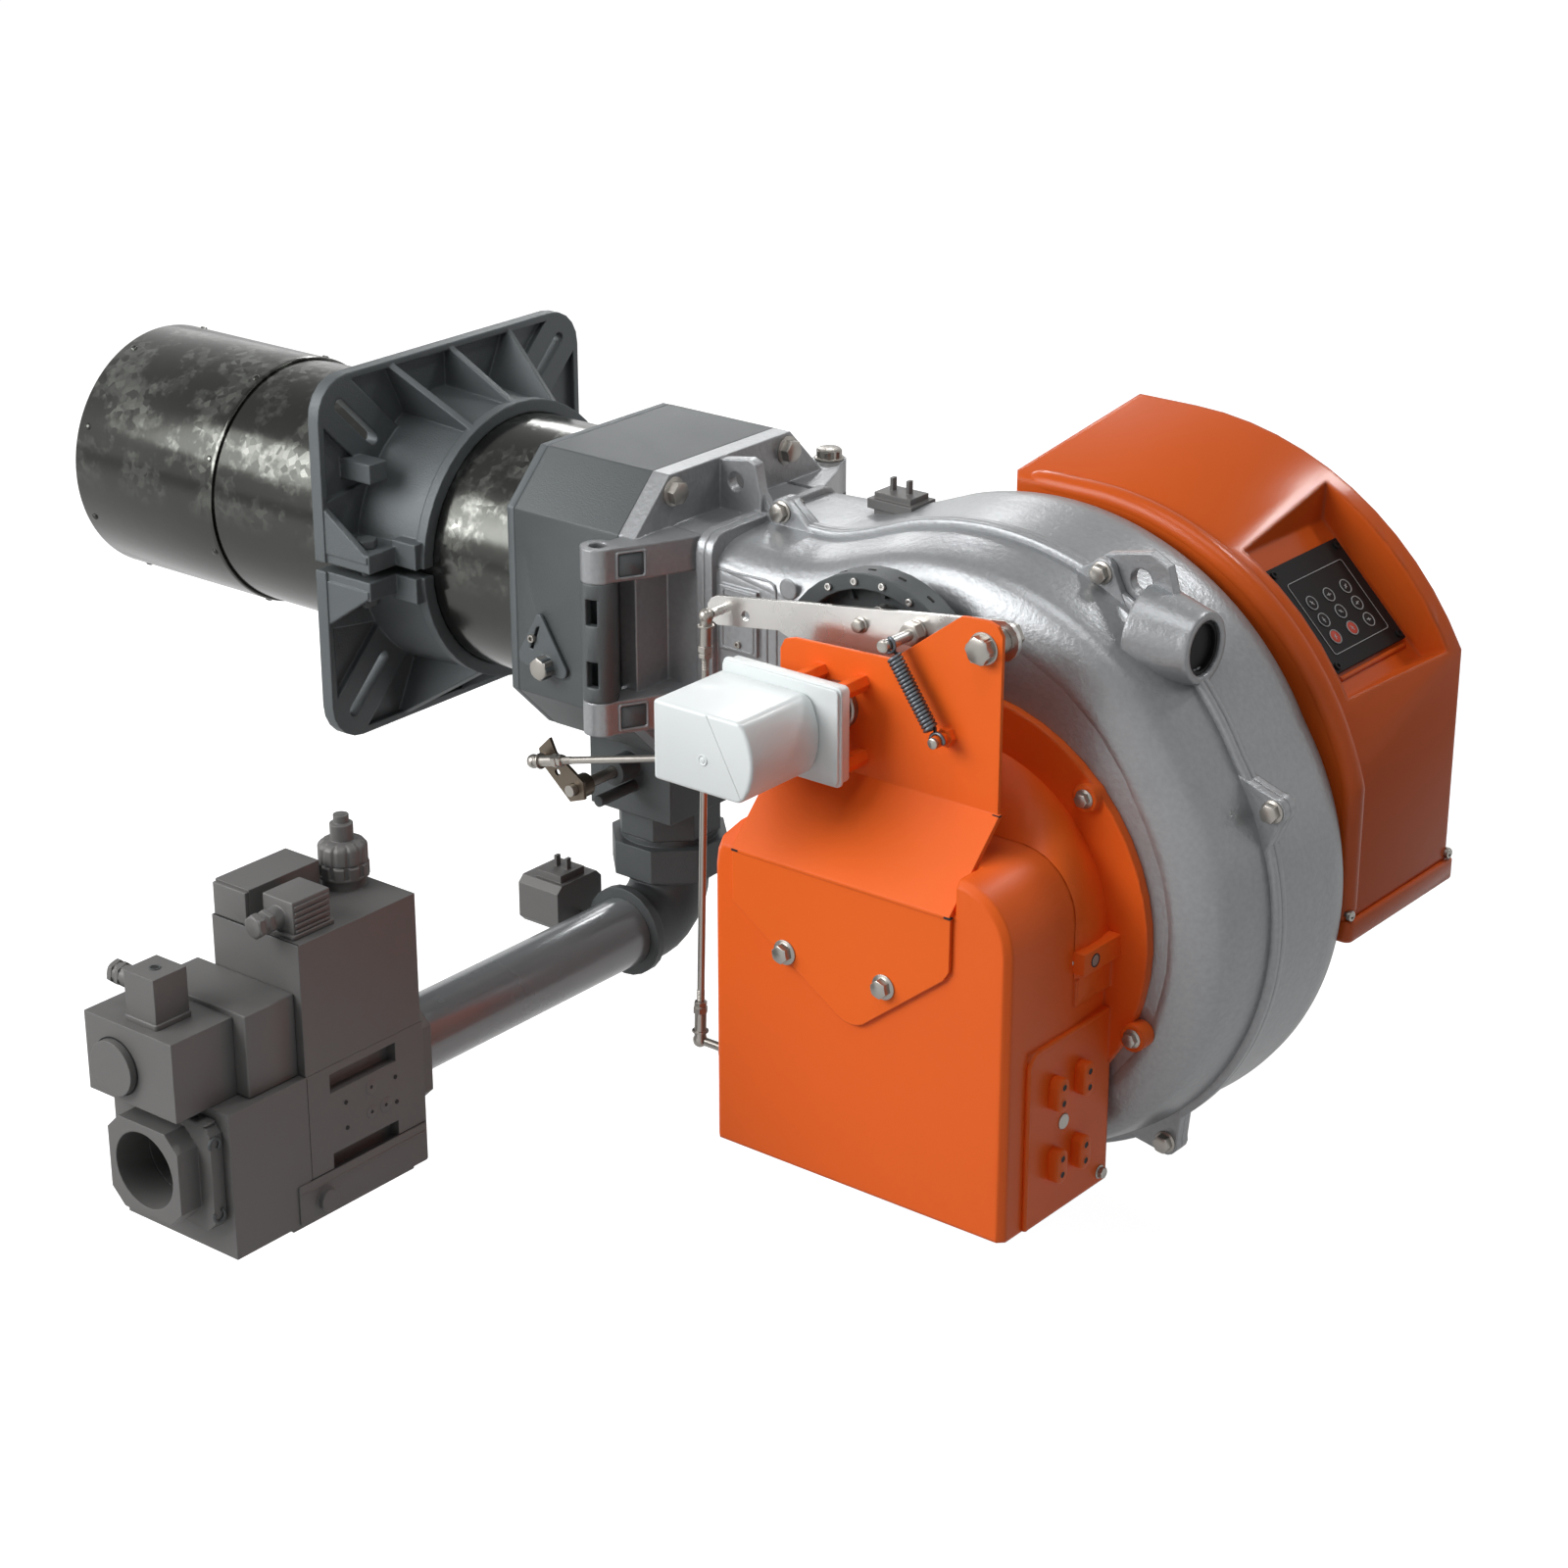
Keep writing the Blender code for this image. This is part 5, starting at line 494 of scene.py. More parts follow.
# Each finish: colour, roughness, metal, grain (fineness, depth in m), blotches (fineness, strength),
# radius of its soft edge in m, and what else it has
FINISHES = {
    "cast_grey": ("#5c6163", 0.52, 0.40, (700.0, 0.00030), (18.0, 0.10), 0.0026, {}),
    "casing_grey": ("#545859", 0.52, 0.35, (700.0, 0.00026), (18.0, 0.10), 0.0026, {}),
    "cast_dark": ("#4c5051", 0.52, 0.30, (800.0, 0.00022), (18.0, 0.12), 0.0016, {}),
    "cast_light": ("#949698", 0.36, 0.50, (230.0, 0.00036), (9.0, 0.05), 0.0026, {"flake": 0.10}),
    # The tube's dark base, with its spangle lightened only on top, gives a painted highlight on its upper
    # half.
    "tube_steel": ("#484946", 0.17, 0.95, (60.0, 0.00010), (7.0, 0.14), 0.0006, {"spangle": 2.2}),
    "bright_steel": ("#cfcdca", 0.28, 0.90, (500.0, 0.00005), (20.0, 0.06), 0.0004, {}),
    "zinc": ("#a29e98", 0.32, 0.85, (600.0, 0.00005), (40.0, 0.12), 0.0004, {}),
    "pipe_grey": ("#85898b", 0.28, 0.35, (400.0, 0.00005), (8.0, 0.06), 0.0008, {"coat": 0.3}),
    "valve_dark": ("#6a6968", 0.50, 0.30, (900.0, 0.00010), (10.0, 0.06), 0.0012, {"shine": 0.3}),
    "orange": ("#f06821", 0.44, 0.0, (700.0, 0.00008), (5.0, 0.03), 0.0014, {"shine": 0.22}),
    "orange_cast": ("#ee6520", 0.40, 0.0, (700.0, 0.00008), (5.0, 0.03), 0.0040, {"shine": 0.25}),
    "orange_gloss": (
        "#ca571e", 0.22, 0.0, (300.0, 0.00004), (4.0, 0.04), 0.0050, {"coat": 0.03, "shine": 0.2},
    ),
    "servo_white": ("#e0e5e5", 0.36, 0.0, (900.0, 0.00003), (6.0, 0.02), 0.0010, {"coat": 0.1}),
    "black_plastic": ("#1e1e1e", 0.50, 0.0, (900.0, 0.00003), (10.0, 0.06), 0.0005, {"shine": 0.15}),
    # Flat black used as painted shade in holes, notches and slots, and as the valve's dark seam lines.
    "shade_and_seam_black": ("#0c0c0c", 0.80, 0.0, (900.0, 0.00003), (10.0, 0.06), 0.0002, {}),
    "ceramic": ("#ddd6c6", 0.30, 0.0, (500.0, 0.00003), (10.0, 0.05), 0.0005, {"coat": 0.4}),
    "spring_dark": ("#666b70", 0.34, 0.80, (800.0, 0.00004), (40.0, 0.12), 0.0002, {}),
    "panel_grey": ("#a4a6a6", 0.45, 0.0, (900.0, 0.00002), (10.0, 0.04), 0.0002, {}),
    "panel_red": ("#b8371f", 0.45, 0.0, (900.0, 0.00002), (10.0, 0.04), 0.0002, {}),
    "bronze": ("#6e6458", 0.32, 0.85, (600.0, 0.00005), (40.0, 0.12), 0.0006, {}),
}


# Outlines that the shells share with the solids


def spiral_radius(angle):
    """The spiral's radius at an angle in degrees."""
    return SPIRAL_RADIUS + SPIRAL_GROWTH * np.maximum(0.0, angle - SPIRAL_FROM)


def scroll_outline(inset, duct_inset, step):
    """The duct's lower line, the spiral round the fan and the line back, blended where they meet."""
    half = DUCT_HALF - duct_inset
    cutoff = FAN_X - math.sqrt((SPIRAL_RADIUS - inset) ** 2 - (half + FAN_Z) ** 2)
    angle = np.arange(SPIRAL_START, SPIRAL_END + 0.1, step)
    radius = spiral_radius(angle) - inset
    way = np.radians(angle)
    spiral = np.column_stack([FAN_X + radius * np.cos(way), FAN_Z + radius * np.sin(way)])
    lower = np.linspace((DUCT_START, -half), (cutoff, -half), 12)
    start = np.linspace((cutoff, -half), spiral[0], 8)[1:-1]
    upper = np.linspace(spiral[-1], (DUCT_START, half), 30)[1:]
    outline = np.vstack([lower, start, spiral, upper])
    blend = outline.copy()
    for _ in range(BLEND_PASSES):
        inner = (blend[:-2] + blend[1:-1] * 2 + blend[2:]) / 4
        near = np.hypot(outline[1:-1, 0] - spiral[-1, 0], outline[1:-1, 1] - spiral[-1, 1])
        weight = np.clip(1 - near / BLEND_REACH, 0, 1)[:, None]
        blend[1:-1] = blend[1:-1] * (1 - weight) + inner * weight
    return blend


def scroll_shell(profile, step, lift):
    """Rows of points: the outline at each place across the scroll, drawn in as the profile says."""
    rows = [upright(scroll_outline(inset - lift, duct - lift, step), y) for y, inset, duct in profile]
    count = min(len(row) for row in rows)
    return np.asarray([row[:count] for row in rows])


# Operators


class BURNER_OT_materials(bpy.types.Operator):
    """Make the procedural materials."""

    bl_idname = "burner.materials"
    bl_label = "Materials"

    def execute(self, context):
        for name, (*values, extra) in FINISHES.items():
            finish_material(name, *values, **extra)
        return {"FINISHED"}


class BURNER_OT_solids(bpy.types.Operator):
    """Give each shown CAD solid its material, smooth shading and rounded edges."""

    bl_idname = "burner.solids"
    bl_label = "Solids"

    special = {
        "head_casing": "casing_grey",
        "casing_front_plate": "cast_grey",
        "head_adjust_plate": "cast_grey",
        "clamp_bolt_near": "cast_dark",
        "clamp_bolt_far": "cast_dark",
        "air_box": "orange_cast",
        "gas_lever": "bronze",
        "butterfly_valve_body": "cast_dark",
    }
    rounds = {
        "head_casing": (2.4, 3),
        "casing_front_plate": (1.2, 2),
        "servo_cover": (3.0, 4),
        "servo_base": (1.2, 3),
        "control_base": (2.0, 3),
        "valve_regulator_block": (1.4, 2),
        "valve_top_connector": (1.0, 2),
    }

    def execute(self, context):
        slots = {part["node"]: part["material_slot"] for part in frame["record"]["subparts"]}
        for name, obj in frame["nodes"].items():
            obj.data.materials.clear()
            obj.data.materials.append(MATERIALS[self.special.get(name, slots[name])])
            obj.data.shade_smooth()
            obj.data.set_sharp_from_angle(angle=CREASE)
            weld = obj.modifiers.new("Joined triangles", "WELD")
            weld.merge_threshold = 1e-5
            if name not in self.rounds:
                split = obj.modifiers.new("Sharp edges", "EDGE_SPLIT")
                split.split_angle = CREASE
            else:
                width, segments = self.rounds[name]
                merge = obj.modifiers.new("Flat faces", "DECIMATE")
                merge.decimate_type = "DISSOLVE"
                merge.angle_limit = math.radians(1)
                bevel = obj.modifiers.new("Edges", "BEVEL")
                bevel.width = width * MM
                bevel.segments = segments
                bevel.limit_method = "ANGLE"
                bevel.angle_limit = math.radians(35)
                bevel.harden_normals = True
        return {"FINISHED"}


class BURNER_OT_tube(bpy.types.Operator):
    """Blast tube and sleeve: closed profiles turned about X, and rivets turned about their own axes."""

    bl_idname = "burner.tube"
    bl_label = "Tube"

    def execute(self, context):
        settings = context.scene.burner_tube
        tube = Sheet()
        tube.ring([(106.5, -200), (109.5, -200), (109.5, 191.2), (106.5, 191.2)], (0, 0, 0), TO_FAN, 192)
        tube.build("tube_skin", "tube_steel", "head", ("blast_tube",))
        sleeve = Sheet()
        lip = [(109.8, -358.5), (110.6, -360), (111.6, -359.2), (112, -357.5)]
        joint = [(112, -184), (112.0, -181.2), (111.4, -180), (109.8, -180)]
        sleeve.ring(lip + joint, (0, 0, 0), TO_FAN, 192)
        radius = settings.rivet_radius / MM
        head = [(radius, 0), (radius * 0.92, radius * 0.3), (radius * 0.6, radius * 0.48), (0, radius * 0.55)]
        for place in (-188.0, -348.0):
            for k in range(settings.rivets):
                angle = 2 * math.pi * (k + 0.5) / settings.rivets
                out = np.array([0, math.cos(angle), math.sin(angle)])
                sleeve.turn([(0, -0.5)] + head, out * 111.9 + np.array([place, 0, 0]), out, 16)
        sleeve.build("sleeve_skin", "tube_steel", "head", ("blast_sleeve",))
        return {"FINISHED"}


class BURNER_OT_scroll(bpy.types.Operator):
    """Fan casing shells: the scroll outline at each place across, drawn in by a smooth shoulder."""

    bl_idname = "burner.scroll"
    bl_label = "Scroll"

    def execute(self, context):
        settings = context.scene.burner_scroll
        lift = settings.lift / MM
        near = [
            (-79.7, 52, 24), (-80, 49, 21.5), (-76, 33.5, 14), (-70, 21, 9), (-65.5, 15, 6.5),
            (-61, 11.5, 5), (-54, 8.8, 3.6), (-40, 5.3, 2.4), (-16.3, 0.8, 0.3),
        ]
        far = [
            (-4, 0.2, 0.1), (20, -1.6, 0.2), (50, -3.8, 0.6), (74, -4.6, 1.4), (82, -3.0, 3.0),
            (86.4, 3.0, 8.0), (87.4, 14, 14), (87.0, 22, 18), (80.7, 25, 20),
        ]
        for name, knots in (("cover_skin", near), ("casing_skin", far)):
            shell = Sheet()
            shell.weave(scroll_shell(eased(knots, 56), settings.step, lift), around=False)
            shell.build(name, "cast_light", "fan_body")
        lip = [(-16.7, 1.0), (-16.7, -4.6), (-16.2, -5.2), (-15.4, -5.5)]
        lip += [(-11.4, -5.5), (-10.7, -5.2), (-10.3, -3.8)]
        rib = lip + [(2 * SEAM_Y - y, inset) for y, inset in lip[::-1]]
        rib = [(y, inset, inset) for y, inset in rib]
        seam = Sheet()
        seam.weave(scroll_shell(rib, settings.step, 0.0), around=False)
        seam.build("seam_rib", "cast_light", "fan_body", smooth=50)
        pockets = Sheet()
        floors = Sheet()
        lean = np.array([[0.4718, 0.0, 0.8817], [0.8817, 0.0, -0.4718], [0.0, 1.0, 0.0]])
        place = (lean, np.array([321.0, -HINGE_Y, 0.0]))
        for middle in (63.2, -64.2):
            rows = []
            for half, rise in ((11.9, -0.4), (11.9, 0.9), (11.2, 1.3), (10.6, 1.3), (9.8, 0.2), (9.8, -0.4)):
                flat = rounded(15.6, middle, half * 1.08, half * 0.96, 1.6, 5)
                rows.append(np.column_stack([flat, np.full(len(flat), rise)]) @ lean.T + place[1])
            rows.append(rows[0])
            pockets.weave(rows)
            floors.slab(rounded(15.6, middle, 10.6, 9.4, 1.4), "Z", -0.3, 0.25, 0.1, place)
        pockets.build("hinge_pockets", "cast_light", "fan_body")
        floors.build("hinge_pocket_floors", "cast_grey", "fan_body")
        spout = Sheet()
        flare = [(40.3, 0), (39.0, 6), (35.5, 19), (31.0, 35), (28.6, 44), (28.2, 46.6), (27.2, 48.2)]
        bore = [(22.6, 48.2), (21.5, 47.2), (21.5, 44), (38.0, 0)]
        spout.ring(flare + bore, (731, -10, 61), TO_FAN)
        spout.build("spout_skin", "cast_light", "fan_body")
        return {"FINISHED"}


class BURNER_OT_duct(bpy.types.Operator):
    """Raised lines, frames, a round pad and screws on the duct's near face, swept along flat paths."""

    bl_idname = "burner.duct"
    bl_label = "Duct"

    def execute(self, context):
        lines = Sheet()
        paths = (
            [(373, 55), (398, 55.3), (422, 55.6), (428, 53.5), (431, 49), (431.6, 40), (431.6, 4)]
            + [(431.6, -36)],
            [(422, 24), (422, 4), (422, -36)],
        )
        for path in paths:
            lines.run(upright(path, -80.1), 0.9, 10)
        lines.turn([(0, 0), (8.6, 0), (8.6, 0.5), (8.2, 0.9), (0, 0.9)], (443.6, -80.0, 53), TO_SERVO)
        for z, half_x, half_z in ((35.5, 14.5, 5.5), (7.0, 15.5, 14.5)):
            lines.run(upright(rounded(395, z, half_x, half_z, 2.2), -83.0), 0.8, 8, closed=True)
        lines.build("duct_lines", "cast_light", "fan_body")
        screws = Sheet()
        for x, z in ((395, -3.0), (395, 16.5)):
            screws.cap_screw((x, -82.8, z), TO_SERVO, 3.0, 2.2)
        screws.build("duct_screws", "zinc", "fan_body")
        return {"FINISHED"}


class BURNER_OT_scroll_bolts(bpy.types.Operator):
    """Seam, hinge flange, ring and bracket screws: hexagon heads chamfered by a cone, on turned washers."""

    bl_idname = "burner.scroll_bolts"
    bl_label = "Scroll bolts"

    def execute(self, context):
        seam = Sheet()
        for x, z in ((386.6, 88.7), (691, 102.7), (847.3, -48.6), (769.1, -348), (470, -348)):
            seam.bolt((x, -17.3, z), TO_SERVO, 13, 6.5, 9.0, 0.4)
            seam.bolt((x, -2.0, z), TO_HOOD, 13, 6.5, 0.0, 0.9)
        for y in (-72, 72):
            for z in (-106, 106):
                seam.bolt((320.3, y, z), TO_FAN, 17, 7.5, 12.0, 0.3)
        seam.build("scroll_bolts", "zinc", "fan_body")
        ring = Sheet()
        for x, z in ((113, 113), (-113, 113), (163, -68), (-163, -68)):
            ring.bolt((FAN_X + x, -94.3, RING_Z + z), TO_SERVO, 10, 5.0, 7.5, 0.5)
        for x, z in ((553.6, -173), (646.6, -174)):
            ring.bolt((x, -222.3, z), TO_SERVO, 13, 6.5, 10.0, 0.2)
        ring.build("box_bolts", "zinc", "fan_body")
        return {"FINISHED"}


class BURNER_OT_spring(bpy.types.Operator):
    """Return spring: a helix with a hook circle round each post, its wire swept as a tube."""

    bl_idname = "burner.spring"
    bl_label = "Spring"

    def execute(self, context):
        settings = context.scene.burner_spring
        wire = settings.wire / MM
        radius = settings.radius / MM
        start = np.array([613.0, -177.0, 74.0])
        end = np.array([658.7, -177.0, 9.7])
        along = unit(end - start)
        across = np.array(TO_HOOD, float)
        side = np.cross(along, across)
        length = np.linalg.norm(end - start)
        eye = 9.5
        turn = np.linspace(0, 2 * np.pi * settings.turns, settings.turns * 16)
        place = np.linspace(eye, length - eye, len(turn))
        round_it = np.cos(turn)[:, None] * across + np.sin(turn)[:, None] * side
        coil = start + place[:, None] * along + radius * round_it
        post = 4.5
        hook = post + wire + 0.2
        opening = np.radians(np.linspace(250, 20, 20))
        first = start + hook * (-np.cos(opening)[:, None] * along + np.sin(opening)[:, None] * side)
        second = end + hook * (np.cos(opening[::-1])[:, None] * along + np.sin(opening[::-1])[:, None] * side)
        lead = start + along * 7.6 + across * radius * 0.6
        trail = end - along * 7.6 + across * radius * 0.6
        path = np.vstack([first[:-2], lead, coil, trail, second[2:]])
        coil_sheet = Sheet()
        coil_sheet.run(path, wire, 8)
        obj = coil_sheet.build("spring_coil", "spring_dark", None, smooth=60)
        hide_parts("lever_spring")
        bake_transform(obj)
        return {"FINISHED"}


class BURNER_OT_panel(bpy.types.Operator):
    """Panel face: a thin rounded frame, round pads and corner screws, turned by 45 degrees onto the slope."""

    bl_idname = "burner.panel"
    bl_label = "Panel"

    def execute(self, context):
        turn = np.array([[PANEL_SLOPE, 0, PANEL_SLOPE], [0, 1, 0], [-PANEL_SLOPE, 0, PANEL_SLOPE]])
        origin = np.array([PANEL_X + 2.6, 125.0, PANEL_Z + 2.6])
        face = (turn, origin)
        normal = turn @ np.array([0, 0, 1.0])
        frame_line = Sheet()
        outer = rounded(50, 52.5, 33, 41, 3)
        inner = rounded(50, 52.5, 32.4, 40.4, 2.6)
        rows = []
        for outline, rise in ((outer, 0.0), (outer, 0.25), (inner, 0.25), (inner, 0.0), (outer, 0.0)):
            flat = np.column_stack([outline, np.full(len(outline), rise)])
            rows.append(flat @ turn.T + origin)
        frame_line.weave(rows)
        pads = Sheet()
        red = Sheet()
        for row, u in enumerate((38.4, 54.3, 70.0)):
            for column, v in enumerate((26.0, 51.4, 76.7)):
                target = red if row == 2 and column < 2 else pads
                target.slab(circle(u, v, 5.2, 32), "Z", -0.1, 0.2, 0.1, face)
                sign = math.radians(35 + 50 * (row * 3 + column))
                for way, long in ((sign, 2.6), (sign + 1.5, 1.5)):
                    bar = rounded(0, 0, long, 0.45, 0.4) @ np.array(
                        [[math.cos(way), math.sin(way)], [-math.sin(way), math.cos(way)]]
                    )
                    frame_line.slab(bar + (u, v), "Z", 0.1, 0.35, 0.08, face)
                rim = [(5.5, -0.1), (6.2, -0.1), (6.2, 0.4), (5.5, 0.4)]
                frame_line.ring(rim, turn @ np.array([u, v, 0]) + origin, normal, 40)
        frame_line.build("panel_lines", "panel_grey", "fan_body")
        pads.build("panel_pads", "black_plastic", "fan_body")
        red.build("panel_red_pads", "panel_red", "fan_body")
        screws = Sheet()
        for u, v in ((6, 5), (6, 99), (91, 5), (91, 99)):
            screws.cap_screw(turn @ np.array([u, v, 0]) + origin, normal, 3.2, 1.6)
        screws.build("panel_screws", "black_plastic", "fan_body")
        return {"FINISHED"}


class BURNER_OT_hood(bpy.types.Operator):
    """Hood rim: a rounded bead swept along the near outline, and small screws in the tray."""

    bl_idname = "burner.hood"
    bl_label = "Hood"

    def execute(self, context):
        rim = Sheet()
        angle = np.radians(np.linspace(90, 15.4, 72))
        over = np.column_stack([HOOD_X + HOOD_RIM * np.cos(angle), HOOD_Z + HOOD_RIM * np.sin(angle)])
        top = HOOD_Z + HOOD_RIM
        left = np.linspace((541, top), (601, top), 12)
        down = np.linspace((846.4, -69), (846.4, -170), 30)
        path = upright(np.vstack([left, over[1:], down[1:]]), 101.5)
        reach = np.full(len(path), 10.0)
        reach[:5] = (3.0, 7.2, 8.9, 9.6, 9.9)
        rim.run(path, reach, 28, up=TO_HOOD)
        fall = PANEL_SLOPE * 100.5
        sill = [(PANEL_X + fall, y, PANEL_Z - fall) for y in np.linspace(128, 226, 24)]
        rim.run(sill, 2.2, 16)
        rim.build("hood_rim", "orange_gloss", "fan_body")
        screws = Sheet()
        for y in (96.0, 250.0):
            screws.cap_screw((854.2, y, -170.5), TO_FAN, 4.2, 3.4)
            screws.cap_screw((854.2, y, -170.5), UP, 4.0, 3.6)
        screws.build("hood_screws", "zinc", "fan_body")
        return {"FINISHED"}


class BURNER_OT_linkage(bpy.types.Operator):
    """Small parts of the linkage: nuts, washers and screws turned or chamfered about their axes."""

    bl_idname = "burner.linkage"
    bl_label = "Linkage"

    def execute(self, context):
        fixed = Sheet()
        fixed.bolt((688, -163.3, 84), TO_SERVO, 19, 8.6, 0.0, 0.3)
        fixed.turn([(0, -1), (12.5, -1), (12.5, 0.4), (11.8, 1), (0, 1)], (688, -163.3, 84), TO_SERVO, 40)
        fixed.turn([(0, 0), (4.2, 0), (4.2, 2.4), (3.2, 3), (0, 3)], (658.7, -181.0, 9.7), TO_SERVO, 24)
        fixed.build("bracket_screws", "zinc", "fan_body")
        # Black slabs in the bracket's fold notches: painted shade of the openings.
        notches = Sheet()
        for x, y, z in ((702.6, -164.2, -42.0), (703.6, -223.4, -102.0), (505.6, -223.4, -102.0)):
            notches.slab(rounded(x, z, 3.2, 0.8, 0.7), "Y", y, y + 3.4, 0.1)
        notches.build("bracket_notch_shade", "shade_and_seam_black", "fan_body")
        for name, body, rod in (("air_rod_nuts", "air_link", AIR_ROD), ("gas_rod_nuts", "gas_link", GAS_ROD)):
            nuts = Sheet()
            start, end = np.array(rod)
            for point, way in ((start, unit(end - start)), (end, unit(start - end))):
                nuts.turn([(0, 7.2), (6.6, 7.2), (6.8, 8.0), (6.6, 8.8), (0, 8.8)], point, way, 32)
                nuts.bolt(point + way * 24.0, way, 10.5, 5.0)
                nuts.bolt(point + way * 30.0, way, 9.5, 3.6)
                for k in range(7):
                    ridge = [(0, 0), (2.9, 0), (3.3, 0.5), (2.9, 1.0), (0, 1.0)]
                    nuts.turn(ridge, point + way * (34.4 + 1.3 * k), way, 20)
            nuts.build(name, "zinc", body)
        seat = Sheet()
        seat.ring([(8, 0), (19, 0), (19, 5), (17.5, 6.2), (8, 6.2)], (SERVO_X, -163.3, SERVO_Z), TO_SERVO, 64)
        seat.build("shaft_seat", "zinc", "fan_body")
        lever = Sheet()
        lever.bolt((561.5, -142.2, 67.7), TO_SERVO, 9, 5, 6.5, 0.4)
        lever.turn([(0, 0), (5.0, 0), (5.0, 3.2), (4.0, 4), (0, 4)], (613, -181.0, 74), TO_SERVO, 24)
        lever.bolt((613, -142.2, 74), TO_SERVO, 16.5, 8.5, 9.5, 0.5)
        lever.build("lever_screws", "zinc", "air_lever_arm")
        cam = Sheet()
        for angle in (66, 84, 102, 120):
            at = np.radians(angle)
            x, z = SERVO_X + 83.5 * math.cos(at), SERVO_Z + 83.5 * math.sin(at)
            cam.cap_screw((x, -121.2, z), TO_SERVO, 2.9, 2.2)
        cam.build("cam_screws", "bright_steel", "servo_drive")
        # Black slabs in the cam's slots: painted shade.
        slots = Sheet()
        for angle in (60, 78, 96, 114):
            at = np.radians(angle)
            out = np.array([math.cos(at), 0.0, math.sin(at)])
            along = np.array([-math.sin(at), 0.0, math.cos(at)])
            centre = np.array([SERVO_X, -110.0, SERVO_Z])
            turn = (np.column_stack([along, TO_HOOD, out]), centre + 89.2 * out)
            slots.slab(rounded(0, 0, 3.6, 1.4, 1.3), "Z", 0, 1.0, 0.1, turn)
        slots.build("cam_slot_shade", "shade_and_seam_black", "servo_drive")
        servo = Sheet()
        servo.slab(rounded(534.5, 2, 56, 39.5, 5), "Y", -202.6, -199.0, 1.0)
        servo.slab(rounded(534.5, 2, 54.6, 38.1, 4.5), "Y", -205.2, -203.4, 0.8)
        boss = [(0, -0.4), (4.4, -0.4), (4.4, 0.3), (3.8, 0.9), (3.0, 0.3), (2.2, 0.3), (1.6, 0.9), (0, 1.0)]
        servo.turn(boss, (527.6, -285, -4.0), TO_SERVO, 32)
        servo.slab([(530.0, 31.5), (531.2, 31.5), (562.8, -25.7), (561.6, -25.7)], "Y", -285.35, -284.6, 0.15)
        servo.build("servo_trim", "servo_white", "fan_body")
        return {"FINISHED"}


class BURNER_OT_box(bpy.types.Operator):
    """Air box fittings: oval bosses with two round sockets, a plug, a small block and screws."""

    bl_idname = "burner.box"
    bl_label = "Air box"

    def execute(self, context):
        bosses = Sheet()
        # Black discs in the bosses' sockets and a black ring round the plug: painted shade of the holes and
        # the gap.
        holes = Sheet()
        for y, z in ((-160, -250), (-126, -250), (-159, -310), (-128, -311)):
            bosses.slab(rounded(y, z, 7.2, 14, 7.1), "X", 758.0, 768.0, 1.6)
            for dz in (-6.6, 6.6):
                bosses.band((767.8, y, z + dz), TO_FAN, 2.6, 3.6, 0, 0.5, 24)
                holes.disc((767.9, y, z + dz), TO_FAN, 2.5, 0, 0.3, 20)
        corner = np.radians(np.linspace(180, 90, 10))
        edge = [(-192, -353), (-192, -300), (-192, -250)]
        edge += [(-180 + 12 * math.cos(a), -221 + 12 * math.sin(a)) for a in corner]
        edge += [(-150, -209), (-120, -209), (-90, -209)]
        bosses.run([(757.6, y, z) for y, z in edge], 2.2, 14)
        bosses.slab(rounded(755.0, -154.0, 11, 9, 0.8, 2), "Y", -136, -88.0, 0.8)
        bosses.build("side_bosses", "orange", "fan_body")
        holes.band((766.0, -122, -154), TO_FAN, 4.4, 5.4, 0, 0.4)
        holes.build("side_hole_shade", "shade_and_seam_black", "fan_body")
        cone = Sheet()
        steps = 96
        angle = np.radians(np.linspace(184, -4, steps))
        arch = np.column_stack([FAN_X + 133.6 * np.cos(angle), RING_Z + 133.6 * np.sin(angle)])
        quarter = np.linspace(0, np.pi / 2, 20)
        corner_left = [(531 - 50 * math.cos(a), -122 + 50 * math.sin(a)) for a in quarter]
        corner_right = [(706 + 50 * math.sin(a), -122 + 50 * math.cos(a)) for a in quarter]
        sides = np.linspace(-190, -123, 20)
        outline = (
            [(481.0, z) for z in sides]
            + corner_left
            + [(x, -72.0) for x in np.linspace(532, 705, 36)]
            + corner_right
            + [(756.0, z) for z in sides[::-1]]
        )
        outline = np.asarray(outline)
        outline = outline[np.round(np.linspace(0, len(outline) - 1, steps)).astype(int)]
        rows = []
        for t in np.linspace(0, 1, 24):
            flat = outline * (1 - t) + arch * t
            away = flat - np.array([619.0, -190.0])
            away /= np.linalg.norm(away, axis=1)[:, None]
            flat = flat + away * (0.6 + 4.2 * math.sin(math.pi * t) ** 0.8)
            rows.append(upright(flat, -135.6 + 49.6 * t))
        cone.weave(rows, around=False)
        cone.build("box_cone", "orange", "fan_body")
        screws = Sheet()
        screws.bolt((758.6, -94, -345), TO_FAN, 8, 4, 5.5, 0.2)
        screws.turn([(0, 0), (6.4, 0), (6.4, 1.0), (5.6, 1.6), (0, 1.6)], (758.2, -146, -280), TO_FAN, 32)
        screws.disc((765.9, -122, -154), TO_FAN, 4.4, 0, 0.3, 28)
        screws.cap_screw((754.0, -136.0, -154), TO_SERVO, 2.6, 1.2)
        screws.build("side_screws", "zinc", "fan_body")
        return {"FINISHED"}


